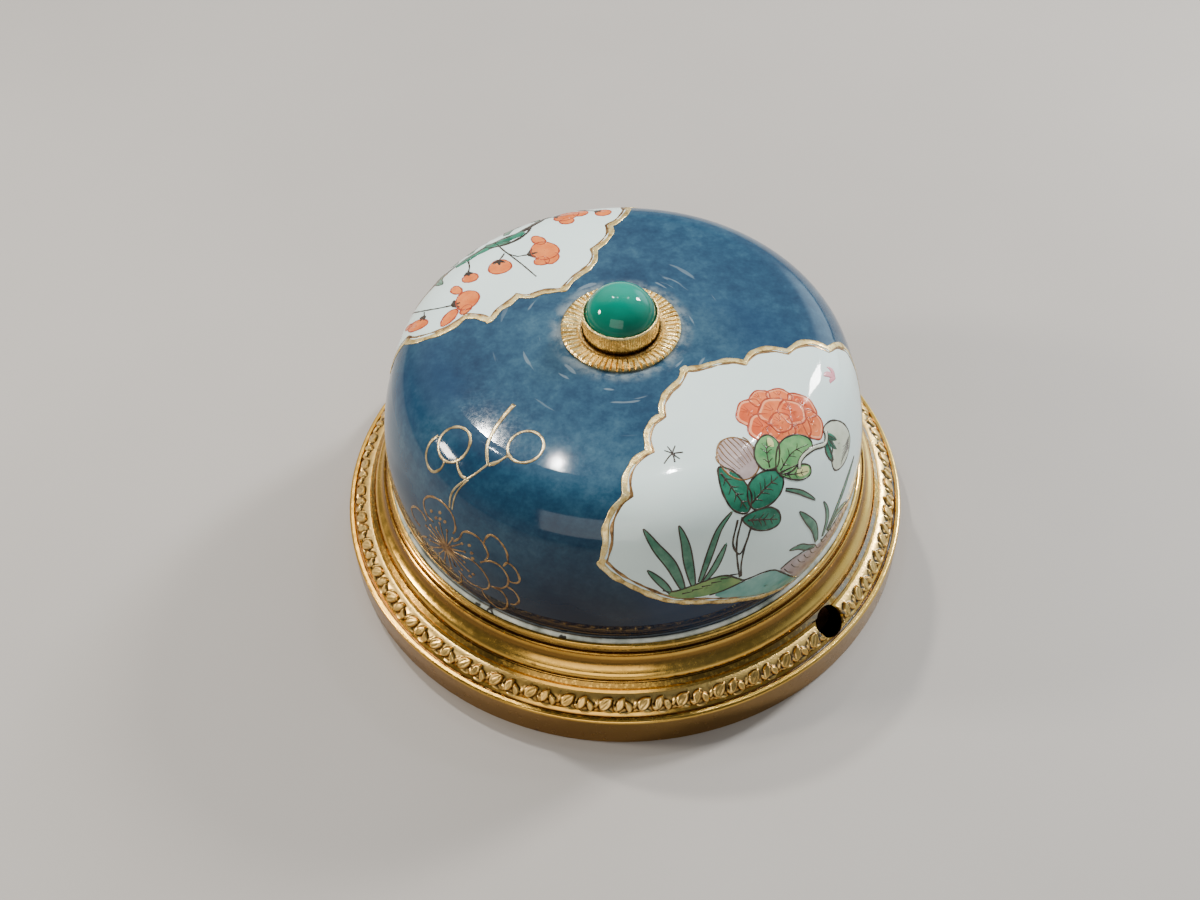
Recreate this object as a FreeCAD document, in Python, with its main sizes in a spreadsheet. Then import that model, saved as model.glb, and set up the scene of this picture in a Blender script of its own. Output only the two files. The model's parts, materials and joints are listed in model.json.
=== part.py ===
import FreeCAD, Part
import math
import os
import Sketcher
from FreeCAD import Placement, Rotation, Vector

# Electric table bell push: a gilt-bronze moulded ring carries a glazed porcelain dome.
# A cabochon button slides in a rosette on the crown and works a leaf contact inside.
# Millimetres, +Z up. The origin is the centre of the resting plane under the ring.

doc = FreeCAD.newDocument("table_bell_push")
sheet = doc.addObject("Spreadsheet::Sheet", "Dims")

DIMS = {
    "ring_radius": 40.0,
    "plinth_height": 5.2,
    "cavity_radius": 36.2,
    "band_foot_radius": 39.0,
    "band_head_radius": 36.5,
    "leaf_count": 96.0,
    "ring_top": 13.0,
    "ledge_height": 12.2,
    "ledge_radius": 29.6,
    "rebate_radius": 33.05,
    "lug_circle": 34.0,
    "lug_radius": 2.6,
    "lug_underside": 3.0,
    "lug_height": 4.2,
    "inlet_radius": 2.2,
    "dome_foot_radius": 32.42,
    "dome_radius": 33.0,
    "dome_belly_height": 17.0,
    "dome_shoulder_radius": 30.67,
    "dome_shoulder_height": 29.333,
    "dome_crown_radius": 23.652,
    "dome_crown_height": 34.945,
    "dome_side_arc": 33.8,
    "dome_shoulder_arc": 9.0,
    "dome_crown_arc": 156.335,
    "dome_wall": 2.9,
    "crown_seat": 36.5,
    "crown_underside": 33.45,
    "crown_hole": 6.5,
    "rosette_radius": 7.8,
    "tube_radius": 6.3,
    "tube_bore": 5.08,
    "tube_bottom": 27.0,
    "flute_count": 60.0,
    "flute_depth": 0.26,
    "nut_radius": 8.8,
    "nut_thickness": 2.2,
    "leather_radius": 9.4,
    "leather_thickness": 0.8,
    "bush_top": 29.0,
    "bush_flange": 1.36,
    "bush_bore": 1.56,
    "bezel_radius": 5.0,
    "bezel_bottom": 35.4,
    "bezel_top": 39.72,
    "stone_radius": 4.6,
    "stone_bottom": 37.2,
    "stone_girdle": 39.0,
    "stone_top": 43.2,
    "stem_radius": 1.5,
    "stem_top": 36.9,
    "stem_shoulder": 20.5,
    "spigot_radius": 0.9,
    "tip_radius": 1.9,
    "tip_bottom": 16.5,
    "collar_radius": 3.3,
    "collar_bottom": 23.6,
    "collar_thickness": 1.85,
    "spring_radius": 3.4,
    "spring_wire": 0.28,
    "spring_turns": 5.0,
    "board_radius": 35.8,
    "board_core_radius": 29.6,
    "board_bottom": 0.8,
    "board_top": 5.0,
    "felt_radius": 35.2,
    "felt_bottom": 0.1,
    "block_length": 40.0,
    "block_width": 16.0,
    "block_top": 12.0,
    "leaf_height": 16.0,
    "leaf_thickness": 0.4,
    "leaf_width": 6.0,
    "leaf_pivot": -11.0,
    "leaf_end": 8.0,
    "contact_reach": 6.0,
    "strip_width": 6.0,
    "strip_thickness": 0.4,
    "screw_shank": 0.9,
    "screw_hole": 0.92,
    "seat_gap": 0.02,
}

for row, alias in enumerate(DIMS, 1):
    sheet.set("A%d" % row, alias)
    sheet.set("B%d" % row, str(DIMS[alias]))
    sheet.setAlias("B%d" % row, alias)
doc.recompute()

NODES = []
EXPECTED_SOLIDS = {}


def number(value):
    """Plain size of a coordinate: a number, an alias, or an alias with an offset."""
    if isinstance(value, str):
        return DIMS[value]
    if isinstance(value, tuple):
        return DIMS[value[0]] + value[1]
    return value


def bind(item, path, value):
    """Drive one property from the sheet when the value names an alias."""
    if isinstance(value, str):
        item.setExpression(path, "Dims.%s" % value)
    elif isinstance(value, tuple):
        item.setExpression(path, "Dims.%s + %s" % (value[0], repr(value[1])))


def node(name, solids=1):
    body = doc.addObject("PartDesign::Body", name)
    body.Label = name
    body.AllowCompound = solids > 1
    NODES.append(body)
    EXPECTED_SOLIDS[name] = solids
    return body


def origin_item(body, role):
    return [item for item in body.Origin.OriginFeatures if item.Role == role][0]


def new_sketch(body, name, role, offset=None):
    sketch = body.newObject("Sketcher::SketchObject", name)
    sketch.AttachmentSupport = [(origin_item(body, role), "")]
    sketch.MapMode = "FlatFace"
    if offset is not None:
        sketch.AttachmentOffset = offset
    return sketch


def fix_point(sketch, edge, end, across, up, tag):
    """Locate one point of a sketch from its origin."""
    for axis, kind, value in ((-2, "DistanceX", across), (-1, "DistanceY", up)):
        if number(value) == 0.0:
            sketch.addConstraint(Sketcher.Constraint("PointOnObject", edge, end, axis))
            continue
        index = sketch.addConstraint(Sketcher.Constraint(kind, -1, 1, edge, end, number(value)))
        label = tag + kind[-1].lower()
        sketch.renameConstraint(index, label)
        bind(sketch, "Constraints." + label, value)


def arc_between(start, stop, radius):
    """Minor arc between two points: positive radius turns left along the way, negative right."""
    chord = (stop - start).Length
    along = (stop - start).normalize()
    left = Vector(-along.y, along.x, 0)
    rise = math.sqrt(radius * radius - chord * chord / 4.0)
    side = 1.0 if radius > 0 else -1.0
    centre = (start + stop) * 0.5 + left * (rise * side)
    first, last = (start, stop) if radius > 0 else (stop, start)
    angle_a = math.atan2(first.y - centre.y, first.x - centre.x)
    angle_b = math.atan2(last.y - centre.y, last.x - centre.x)
    if angle_b < angle_a:
        angle_b += 2.0 * math.pi
    circle = Part.Circle(centre, Vector(0, 0, 1), abs(radius))
    return Part.ArcOfCircle(circle, angle_a, angle_b)


def outline(body, name, role, corners, offset=None):
    """Closed outline. A corner is (across, up) or (across, up, radius of the arc that leaves it)."""
    sketch = new_sketch(body, name, role, offset)
    points = [Vector(number(c[0]), number(c[1]), 0) for c in corners]
    ends = []
    for i, corner in enumerate(corners):
        start = points[i]
        stop = points[(i + 1) % len(points)]
        if len(corner) == 3:
            radius = number(corner[2])
            edge = sketch.addGeometry(arc_between(start, stop, radius), False)
            ends.append((edge, 1, 2) if radius > 0 else (edge, 2, 1))
            index = sketch.addConstraint(Sketcher.Constraint("Radius", edge, abs(radius)))
            label = "arc%d" % i
            sketch.renameConstraint(index, label)
            if radius > 0:
                bind(sketch, "Constraints." + label, corner[2])
        else:
            edge = sketch.addGeometry(Part.LineSegment(start, stop), False)
            ends.append((edge, 1, 2))
    for i in range(len(ends)):
        before = ends[i - 1]
        here = ends[i]
        sketch.addConstraint(Sketcher.Constraint("Coincident", before[0], before[2], here[0], here[1]))
        fix_point(sketch, here[0], here[1], corners[i][0], corners[i][1], "at%d" % i)
    return sketch


def circles(body, name, role, rings, offset=None):
    """Sketch of circles, each (centre across, centre up, radius)."""
    sketch = new_sketch(body, name, role, offset)
    for i, (across, up, radius) in enumerate(rings):
        centre = Vector(number(across), number(up), 0)
        edge = sketch.addGeometry(Part.Circle(centre, Vector(0, 0, 1), number(radius)), False)
        index = sketch.addConstraint(Sketcher.Constraint("Radius", edge, number(radius)))
        label = "round%d" % i
        sketch.renameConstraint(index, label)
        bind(sketch, "Constraints." + label, radius)
        if number(across) == 0.0 and number(up) == 0.0:
            sketch.addConstraint(Sketcher.Constraint("Coincident", edge, 3, -1, 1))
        else:
            fix_point(sketch, edge, 3, across, up, "centre%d" % i)
    return sketch


def lifted(body, sketch, level):
    """Raise a sketch on the XY plane to a level read from the sheet."""
    sketch.AttachmentOffset = Placement(Vector(0, 0, number(level)), Rotation())
    bind(sketch, ".AttachmentOffset.Base.z", level)
    return sketch


def turn(body, sketch, name):
    feature = body.newObject("PartDesign::Revolution", name)
    feature.Profile = sketch
    feature.ReferenceAxis = (sketch, ["V_Axis"])
    feature.Angle = 360.0
    body.Tip = feature
    return feature


def pad(body, sketch, name, length):
    feature = body.newObject("PartDesign::Pad", name)
    feature.Profile = sketch
    feature.Length = number(length)
    bind(feature, "Length", length)
    body.Tip = feature
    return feature


def pocket(body, sketch, name, length, upwards=False):
    """Cut from the sketch down its normal, or up it; the cut has to remove material."""
    doc.recompute()
    before = body.Shape.Volume
    feature = body.newObject("PartDesign::Pocket", name)
    feature.Profile = sketch
    feature.Type = 0
    feature.Length = number(length)
    feature.Reversed = upwards
    bind(feature, "Length", length)
    body.Tip = feature
    doc.recompute()
    if not body.Shape.Volume < before - 1e-4:
        raise RuntimeError("pocket %s removes nothing" % name)
    return feature


def around(body, features, name, count):
    feature = body.newObject("PartDesign::PolarPattern", name)
    feature.Originals = features
    feature.Axis = (origin_item(body, "Z_Axis"), [""])
    feature.Angle = 360.0
    feature.Occurrences = int(number(count))
    bind(feature, "Occurrences", count if isinstance(count, str) else 0)
    body.Tip = feature
    return feature


def turned(name, corners):
    body = node(name)
    turn(body, outline(body, name + "_section", "XZ_Plane", corners), name + "_turned")
    return body


def rectangle(across, up, low_across, low_up):
    return [(low_across, low_up), (across, low_up), (across, up), (low_across, up)]


def slot_cut(body, name, width, depth, level, reach, across=0.0, up=0.0):
    """Screwdriver slot, open at the level and cut downwards."""
    left = across - reach
    low = up - width / 2.0
    corners = rectangle(across + reach, up + width / 2.0, left, low)
    sketch = outline(body, name + "_plan", "XY_Plane", corners)
    lifted(body, sketch, level)
    return pocket(body, sketch, name, depth)


def round_cut(body, name, holes, level, depth, upwards=False):
    sketch = circles(body, name + "_plan", "XY_Plane", holes)
    lifted(body, sketch, level)
    return pocket(body, sketch, name, depth, upwards)


# Cord inlet: drilled square to the sloping leaf band, half way between two lugs.
INLET_AZIMUTH = math.radians(-45.0)
INLET_RISE = math.radians(47.0)
INLET_OUT = Vector(
    math.cos(INLET_AZIMUTH) * math.cos(INLET_RISE),
    math.sin(INLET_AZIMUTH) * math.cos(INLET_RISE),
    math.sin(INLET_RISE),
)
INLET_MOUTH = Vector(37.72 * math.cos(INLET_AZIMUTH), 37.72 * math.sin(INLET_AZIMUTH), 6.75)


def inlet_bore(body, name, outside, depth):
    placing = Placement(INLET_MOUTH + INLET_OUT * outside, Rotation(Vector(0, 0, 1), INLET_OUT))
    sketch = circles(body, name + "_plan", "XY_Plane", [(0.0, 0.0, "inlet_radius")], placing)
    pocket(body, sketch, name, depth)


# ---------------------------------------------------------------- base ring
ring = turned("base_ring", [
    ("cavity_radius", 0.0),
    (("ring_radius", -0.2), 0.0),
    ("ring_radius", 0.2),
    ("ring_radius", ("plinth_height", -0.35), 0.35),
    (("ring_radius", -0.35), "plinth_height"),
    (("ring_radius", -0.65), "plinth_height"),
    (("ring_radius", -0.85), ("plinth_height", -0.25)),
    ("band_foot_radius", ("plinth_height", -0.25)),
    ("band_head_radius", 7.3),
    (("band_head_radius", -0.05), 7.75),
    (35.95, 8.15),
    (35.8, 8.0),
    (35.68, 8.12, 1.1),
    (35.3, 9.35, -2.6),
    (34.0, 11.55),
    (34.15, 11.68),
    (34.15, 11.85),
    (33.98, 11.98),
    (33.75, 11.9),
    (33.68, 12.2),
    (33.6, 12.35),
    (33.5, 12.42),
    (33.45, ("ring_top", -0.25), 0.3),
    (33.2, "ring_top"),
    ("rebate_radius", "ring_top"),
    ("rebate_radius", "ledge_height"),
    ("ledge_radius", "ledge_height"),
    ("ledge_radius", ("ledge_height", -1.8)),
    (("ledge_radius", 2.0), ("ledge_height", -2.4)),
    ("cavity_radius", 4.4),
])
LUG_TURN = math.radians(15.0)
lug_x = DIMS["lug_circle"] * math.cos(LUG_TURN)
lug_y = DIMS["lug_circle"] * math.sin(LUG_TURN)
lug_plan = circles(ring, "lug_plan", "XY_Plane", [(lug_x, lug_y, "lug_radius")])
lifted(ring, lug_plan, "lug_underside")
lug = pad(ring, lug_plan, "lug", "lug_height")
around(ring, [lug], "lugs", 3)
tap_plan = circles(ring, "tap_plan", "XY_Plane", [(lug_x, lug_y, "screw_hole")])
lifted(ring, tap_plan, "lug_underside")
tap = pocket(ring, tap_plan, "tapped_hole", 3.6, True)
around(ring, [tap], "tapped_holes", 3)
inlet_bore(ring, "ring_inlet", 2.5, 9.0)

# ---------------------------------------------------------------- leaf band
band = turned("leaf_band", [
    (("band_foot_radius", -0.05), ("plinth_height", -0.18)),
    (("band_foot_radius", 0.09), ("plinth_height", -0.03), 2.6),
    (("band_head_radius", 0.32), 7.5),
    (("band_head_radius", 0.08), 7.25),
])
SLOPE_DOWN = Vector(0.698, 0.0, -0.716)
SLOPE_OUT = Vector(0.716, 0.0, 0.698)
across_band = Rotation(Vector(0, 1, 0), SLOPE_OUT, SLOPE_DOWN, "ZYX")
vein_plan = outline(band, "vein_section", "XY_Plane", [
    (0.0, 0.27),
    (0.4, 0.95),
    (-0.4, 0.95),
], Placement(Vector(36.47, 0, 7.86), across_band))
vein = pocket(band, vein_plan, "leaf_gap", 4.2, True)
around(band, [vein], "leaf_gaps", "leaf_count")
inlet_bore(band, "band_inlet", 2.5, 9.0)

# ---------------------------------------------------------------- porcelain dome
turned("porcelain_dome", [
    (("ledge_radius", 0.2), ("ledge_height", 0.02)),
    (("dome_foot_radius", -0.12), ("ledge_height", 0.02)),
    ("dome_foot_radius", ("ledge_height", 0.2)),
    ("dome_foot_radius", ("ledge_height", 0.8), 14.083),
    ("dome_radius", "dome_belly_height", "dome_side_arc"),
    ("dome_shoulder_radius", "dome_shoulder_height", "dome_shoulder_arc"),
    ("dome_crown_radius", "dome_crown_height", "dome_crown_arc"),
    (8.4, ("crown_seat", 0.019)),
    (8.38, "crown_seat"),
    ("crown_hole", "crown_seat"),
    ("crown_hole", "crown_underside"),
    (10.0, "crown_underside", -153.4),
    (23.213, 32.01, -6.1),
    (27.97, 28.275, -30.9),
    (("dome_radius", -2.9), "dome_belly_height"),
])

turned("rim_cement", [
    (("dome_foot_radius", 0.04), ("ledge_height", 0.05)),
    (("rebate_radius", -0.07), ("ledge_height", 0.05)),
    (("rebate_radius", -0.07), ("ring_top", 0.05)),
    (("rebate_radius", -0.19), ("ring_top", 0.38)),
    (("rebate_radius", -0.33), ("ring_top", 0.52)),
    (("rebate_radius", -0.43), ("ring_top", 0.48)),
    (("dome_foot_radius", 0.04), ("ring_top", -0.05)),
])

# ---------------------------------------------------------------- crown fittings
rosette = turned("rosette", [
    ("tube_bore", "tube_bottom"),
    ("tube_radius", "tube_bottom"),
    ("tube_radius", ("crown_seat", 0.02)),
    (("rosette_radius", -0.1), ("crown_seat", 0.02)),
    ("rosette_radius", ("crown_seat", 0.15)),
    ("rosette_radius", ("crown_seat", 0.4)),
    (("rosette_radius", -0.25), ("crown_seat", 0.62)),
    (("tube_bore", 0.75), ("crown_seat", 0.45)),
    (("tube_bore", 0.4), ("crown_seat", 0.3)),
    ("tube_bore", ("crown_seat", 0.3)),
])
flute_plan = outline(rosette, "flute_section", "YZ_Plane", [
    (-0.24, ("crown_seat", 0.8)),
    (0.0, ("crown_seat", 0.22)),
    (0.24, ("crown_seat", 0.8)),
], Placement(Vector(0, 0, 5.55), Rotation()))
flute = pocket(rosette, flute_plan, "flute", 3.0, True)
around(rosette, [flute], "flutes", "flute_count")

turned("crown_washer", [
    (("tube_radius", 0.15), ("crown_underside", -0.84)),
    ("leather_radius", ("crown_underside", -0.84)),
    ("leather_radius", ("crown_underside", -0.04)),
    (("tube_radius", 0.15), ("crown_underside", -0.04)),
])

crown_nut = turned("crown_nut", [
    (("tube_radius", 0.02), ("crown_underside", -3.08)),
    (("nut_radius", -0.25), ("crown_underside", -3.08)),
    ("nut_radius", ("crown_underside", -2.83)),
    ("nut_radius", ("crown_underside", -0.88)),
    (("tube_radius", 0.02), ("crown_underside", -0.88)),
])
notch_plan = outline(crown_nut, "notch_plan", "XY_Plane", rectangle(9.6, 0.75, 7.6, -0.75))
lifted(crown_nut, notch_plan, ("crown_underside", -3.08))
notch = pocket(crown_nut, notch_plan, "notch", 1.2, True)
around(crown_nut, [notch], "notches", 4)

guide_bush = turned("guide_bush", [
    ("bush_bore", ("tube_bottom", -1.4)),
    (("tube_radius", -0.2), ("tube_bottom", -1.4)),
    ("tube_radius", ("tube_bottom", -1.2)),
    ("tube_radius", ("tube_bottom", -0.04)),
    (("tube_bore", -0.05), ("tube_bottom", -0.04)),
    (("tube_bore", -0.05), "bush_top"),
    ("bush_bore", "bush_top"),
])
key_plan = outline(guide_bush, "key_plan", "XY_Plane", rectangle(7.0, 0.55, -7.0, -0.55))
lifted(guide_bush, key_plan, ("tube_bottom", -1.4))
pocket(guide_bush, key_plan, "key_slot", 0.6, True)

# ---------------------------------------------------------------- button
turned("cabochon", [
    (0.0, "stone_bottom"),
    (("stone_radius", -0.3), "stone_bottom"),
    ("stone_radius", ("stone_bottom", 0.3)),
    ("stone_radius", "stone_girdle", 3.7),
    (("stone_radius", -0.558491), ("stone_girdle", 1.954717), 4.76),
    (0.06, "stone_top"),
    (0.0, "stone_top"),
])

turned("bezel_cup", [
    (("stem_radius", 0.02), "bezel_bottom"),
    (("bezel_radius", -0.2), "bezel_bottom"),
    ("bezel_radius", ("bezel_bottom", 0.2)),
    ("bezel_radius", ("bezel_top", -0.4), 0.4),
    (("bezel_radius", -0.28), "bezel_top"),
    (("stone_radius", -0.03), ("bezel_top", -0.06)),
    (("stone_radius", 0.06), ("bezel_top", -0.6)),
    (("stone_radius", 0.06), ("stone_bottom", -0.05)),
    (("stem_radius", 0.02), ("stone_bottom", -0.05)),
])

turned("button_stem", [
    (0.0, ("stem_shoulder", -1.8)),
    ("spigot_radius", ("stem_shoulder", -1.8)),
    ("spigot_radius", "stem_shoulder"),
    ("stem_radius", "stem_shoulder"),
    ("stem_radius", ("stem_top", -0.2)),
    (("stem_radius", -0.2), "stem_top"),
    (0.0, "stem_top"),
])

collar = node("stem_collar")
hex_corners = []
for step in range(6):
    turn_angle = math.radians(60.0 * step + 30.0)
    across = DIMS["collar_radius"] * math.cos(turn_angle)
    hex_corners.append((round(across, 6), DIMS["collar_radius"] * math.sin(turn_angle)))
hex_plan = outline(collar, "hex_plan", "XY_Plane", hex_corners)
lifted(collar, hex_plan, "collar_bottom")
pad(collar, hex_plan, "hex_body", "collar_thickness")
round_cut(collar, "collar_bore", [(0.0, 0.0, ("stem_radius", 0.02))], "collar_bottom", 3.0, True)

turned("stem_tip", [
    (0.0, "tip_bottom", "tip_radius"),
    ("tip_radius", ("tip_bottom", 1.9)),
    ("tip_radius", ("stem_shoulder", -0.04)),
    (("spigot_radius", 0.02), ("stem_shoulder", -0.04)),
    (("spigot_radius", 0.02), ("stem_shoulder", -1.84)),
    (0.0, ("stem_shoulder", -1.84)),
])

spring = node("return_spring")
wire_plan = circles(spring, "wire_section", "XZ_Plane", [("spring_radius", ("bush_top", 0.32), "spring_wire")])
coil = spring.newObject("PartDesign::AdditiveHelix", "coil")
coil.Profile = wire_plan
coil.ReferenceAxis = (wire_plan, ["V_Axis"])
coil.Mode = 2
coil.Turns = DIMS["spring_turns"]
coil.setExpression("Turns", "Dims.spring_turns")
coil.Height = DIMS["bezel_bottom"] - DIMS["bush_top"] - 0.64
coil.setExpression("Height", "Dims.bezel_bottom - Dims.bush_top - 0.64")
spring.Tip = coil

# ---------------------------------------------------------------- base board
board = turned("base_board", [
    (0.0, "board_bottom"),
    (("board_radius", -0.3), "board_bottom"),
    ("board_radius", ("board_bottom", 0.3)),
    ("board_radius", ("lug_underside", -0.02)),
    (("board_core_radius", 0.6), ("lug_underside", -0.02)),
    ("board_core_radius", 3.6),
    ("board_core_radius", ("board_top", -0.4)),
    (("board_core_radius", -0.4), "board_top"),
    (0.0, "board_top"),
])
sink_plan = circles(board, "sink_plan", "XY_Plane", [(lug_x, lug_y, 1.85)])
lifted(board, sink_plan, "board_bottom")
sink = pocket(board, sink_plan, "screw_sink", 1.15, True)
hole_plan = circles(board, "hole_plan", "XY_Plane", [(lug_x, lug_y, 1.0)])
lifted(board, hole_plan, "board_bottom")
hole = pocket(board, hole_plan, "screw_way", 4.0, True)
around(board, [sink, hole], "screw_places", 3)
BLOCK_SCREW_REACH = 6.0
block_holes = [(0.0, BLOCK_SCREW_REACH, "screw_hole"), (0.0, -BLOCK_SCREW_REACH, "screw_hole")]
round_cut(board, "block_screw_holes", block_holes, "board_top", 2.6)

notch_placing = Placement(Vector(0, 0, DIMS["lug_underside"]), Rotation(Vector(0, 0, 1), -45.0))
cord_notch_plan = outline(
    board, "cord_notch_plan", "XY_Plane", rectangle(("board_radius", 1.0), 3.5, 30.8, -3.5), notch_placing,
)
pocket(board, cord_notch_plan, "cord_notch", 1.6)

felt = node("felt_pad")
felt_plan = circles(felt, "felt_plan", "XY_Plane", [(0.0, 0.0, "felt_radius")])
lifted(felt, felt_plan, "felt_bottom")
pad(felt, felt_plan, "felt_disc", 0.68)

board_screws = node("board_screws", 3)
screw_section = outline(board_screws, "screw_section", "XZ_Plane", [
    (0.0, 0.95),
    (1.5, 0.95),
    (1.7, 1.15),
    (1.7, 1.92),
    ("screw_shank", 1.92),
    ("screw_shank", 6.1),
    (("screw_shank", -0.3), 6.4),
    (0.0, 6.4),
], Placement(Vector(DIMS["lug_circle"], 0, 0), Rotation()))
screw_turned = turn(board_screws, screw_section, "screw_turned")
screw_slot_plan = outline(
    board_screws, "screw_slot_plan", "XY_Plane",
    rectangle(("lug_circle", 2.0), 0.22, ("lug_circle", -2.0), -0.22),
)
lifted(board_screws, screw_slot_plan, 0.95)
screw_slot = pocket(board_screws, screw_slot_plan, "screw_slot", 0.4, True)
screw_ring = around(board_screws, [screw_turned, screw_slot], "screw_ring", 3)
board_screws.Placement = Placement(Vector(0, 0, 0), Rotation(Vector(0, 0, 1), 15.0))

# ---------------------------------------------------------------- contact block
block = node("contact_block")
half_length = DIMS["block_length"] / 2.0
half_width = DIMS["block_width"] / 2.0
block_plan = outline(block, "block_plan", "XY_Plane", [
    (-half_length + 2.0, -half_width),
    (half_length - 2.0, -half_width, 2.0),
    (half_length, -half_width + 2.0),
    (half_length, half_width - 2.0, 2.0),
    (half_length - 2.0, half_width),
    (-half_length + 2.0, half_width, 2.0),
    (-half_length, half_width - 2.0),
    (-half_length, -half_width + 2.0, 2.0),
])
lifted(block, block_plan, ("board_top", 0.02))
block_pad = pad(block, block_plan, "block_body", 6.98)
block_pad.setExpression("Length", "Dims.block_top - Dims.board_top - 0.02")
LEAF_SCREW = -15.0
STRIP_SCREW = 11.0
STRIP_TERMINAL = 16.0
top_holes = [(LEAF_SCREW, 0.0, "screw_hole"), (STRIP_TERMINAL, 0.0, "screw_hole"), (STRIP_SCREW, 0.0, "screw_hole")]
round_cut(block, "terminal_holes", top_holes, "block_top", 5.2)
round_cut(block, "screw_ways", [(h[0], h[1], 0.98) for h in block_holes], "block_top", 8.0)
round_cut(block, "screw_sinks", [(h[0], h[1], 1.75) for h in block_holes], "block_top", 1.25)

block_screws = node("block_screws", 2)
block_screw_section = outline(block_screws, "block_screw_section", "YZ_Plane", [
    (0.0, 2.5),
    (("screw_shank", -0.3), 2.5),
    ("screw_shank", 2.8),
    ("screw_shank", 10.78),
    (1.6, 10.78),
    (1.6, 11.65),
    (1.4, 11.85),
    (0.0, 11.85),
], Placement(Vector(BLOCK_SCREW_REACH, 0, 0), Rotation()))
block_screw = turn(block_screws, block_screw_section, "block_screw")
slot_plan = outline(block_screws, "block_slot_plan", "XY_Plane", rectangle(2.0, 6.2, -2.0, 5.8))
lifted(block_screws, slot_plan, 11.85)
block_slot = pocket(block_screws, slot_plan, "block_slot", 0.4)
around(block_screws, [block_screw, block_slot], "block_screw_pair", 2)


def plate(name, low_x, high_x, half_y, low_z, thickness, holes):
    body = node(name)
    plan = outline(body, name + "_plan", "XY_Plane", rectangle(high_x, half_y, low_x, -half_y))
    lifted(body, plan, low_z)
    pad(body, plan, name + "_plate", thickness)
    round_cut(body, name + "_holes", holes, low_z, 9.0, True)
    return body


plate("leaf_pillar", -19.0, -11.3, 3.6, ("block_top", 0.02), 3.94, [(LEAF_SCREW, 0.0, "screw_hole")])
plate("leaf_tail", -19.0, -11.08, 3.0, "leaf_height", "leaf_thickness", [(LEAF_SCREW, 0.0, 0.95)])
plate("leaf_clamp", -19.0, -11.3, 3.6, ("leaf_height", 0.42), 0.78, [(LEAF_SCREW, 0.0, 0.95)])
strip_holes = [(STRIP_SCREW, 0.0, 0.95), (STRIP_TERMINAL, 0.0, 0.95)]
plate("lower_strip", 2.0, 19.0, 3.0, ("block_top", 0.02), "strip_thickness", strip_holes)

leaf = node("contact_leaf")
leaf_plan = outline(leaf, "leaf_plan", "XY_Plane", [
    (("leaf_pivot", 0.05), -3.0),
    (1.0, -3.0),
    (5.0, -2.0),
    (("leaf_end", -1.5), -2.0, 1.5),
    ("leaf_end", -0.5),
    ("leaf_end", 0.5, 1.5),
    (("leaf_end", -1.5), 2.0),
    (5.0, 2.0),
    (1.0, 3.0),
    (("leaf_pivot", 0.05), 3.0),
])
lifted(leaf, leaf_plan, "leaf_height")
pad(leaf, leaf_plan, "leaf_blade", "leaf_thickness")


def button_disc(name, across, radius, low_z, thickness):
    body = node(name)
    plan = circles(body, name + "_plan", "XY_Plane", [(across, 0.0, radius)])
    lifted(body, plan, low_z)
    pad(body, plan, name + "_disc", thickness)
    return body


button_disc("leaf_contact", "contact_reach", 0.9, ("leaf_height", -0.55), 0.53)
button_disc("lower_contact", ("contact_reach", -0.1), 1.0, ("block_top", 0.44), 0.36)


def head_screw(name, across, under_head, head_height, head_radius, foot):
    """Cheese-head screw standing on the head's underside, slot across the top."""
    body = node(name)
    top = under_head + head_height
    section = outline(body, name + "_section", "XZ_Plane", [
        (0.0, foot),
        (("screw_shank", -0.3), foot),
        ("screw_shank", foot + 0.3),
        ("screw_shank", under_head),
        (head_radius, under_head),
        (head_radius, top - 0.2),
        (head_radius - 0.2, top),
        (0.0, top),
    ], Placement(Vector(across, 0, 0), Rotation()))
    turn(body, section, name + "_turned")
    slot_cut(body, name + "_slot", 0.45, 0.5, top, head_radius + 0.4, across, 0.0)
    return body


head_screw("leaf_terminal_screw", LEAF_SCREW, 17.74, 1.8, 2.1, 7.0)
head_screw("strip_terminal_screw", STRIP_TERMINAL, 12.96, 1.8, 2.1, 7.0)
head_screw("strip_screw", STRIP_SCREW, 12.44, 0.9, 1.5, 8.0)

washers = node("terminal_washers", 2)
for label, across, level in (("strip", STRIP_TERMINAL, 12.44), ("leaf", LEAF_SCREW, 17.22)):
    washer_plan = circles(washers, label + "_washer_plan", "XY_Plane", [
        (across, 0.0, 2.6),
        (across, 0.0, 0.98),
    ])
    lifted(washers, washer_plan, level)
    pad(washers, washer_plan, label + "_washer", 0.5)

# ---------------------------------------------------------------- checks and export
doc.recompute()
for item in doc.Objects:
    if "Invalid" in item.State or "Error" in item.State:
        raise RuntimeError("%s is in state %s" % (item.Name, item.State))

os.makedirs("parts", exist_ok=True)
for body in NODES:
    shape = body.Shape
    if shape.isNull() or not shape.isValid():
        raise RuntimeError("%s has no valid shape" % body.Label)
    if len(shape.Solids) != EXPECTED_SOLIDS[body.Label]:
        raise RuntimeError("%s has %d solids" % (body.Label, len(shape.Solids)))
    shape.exportStep("parts/%s.step" % body.Label)
print("nodes", len(NODES))
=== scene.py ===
import json
import math

import bpy
import numpy as np
from mathutils import Matrix, Vector


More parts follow.
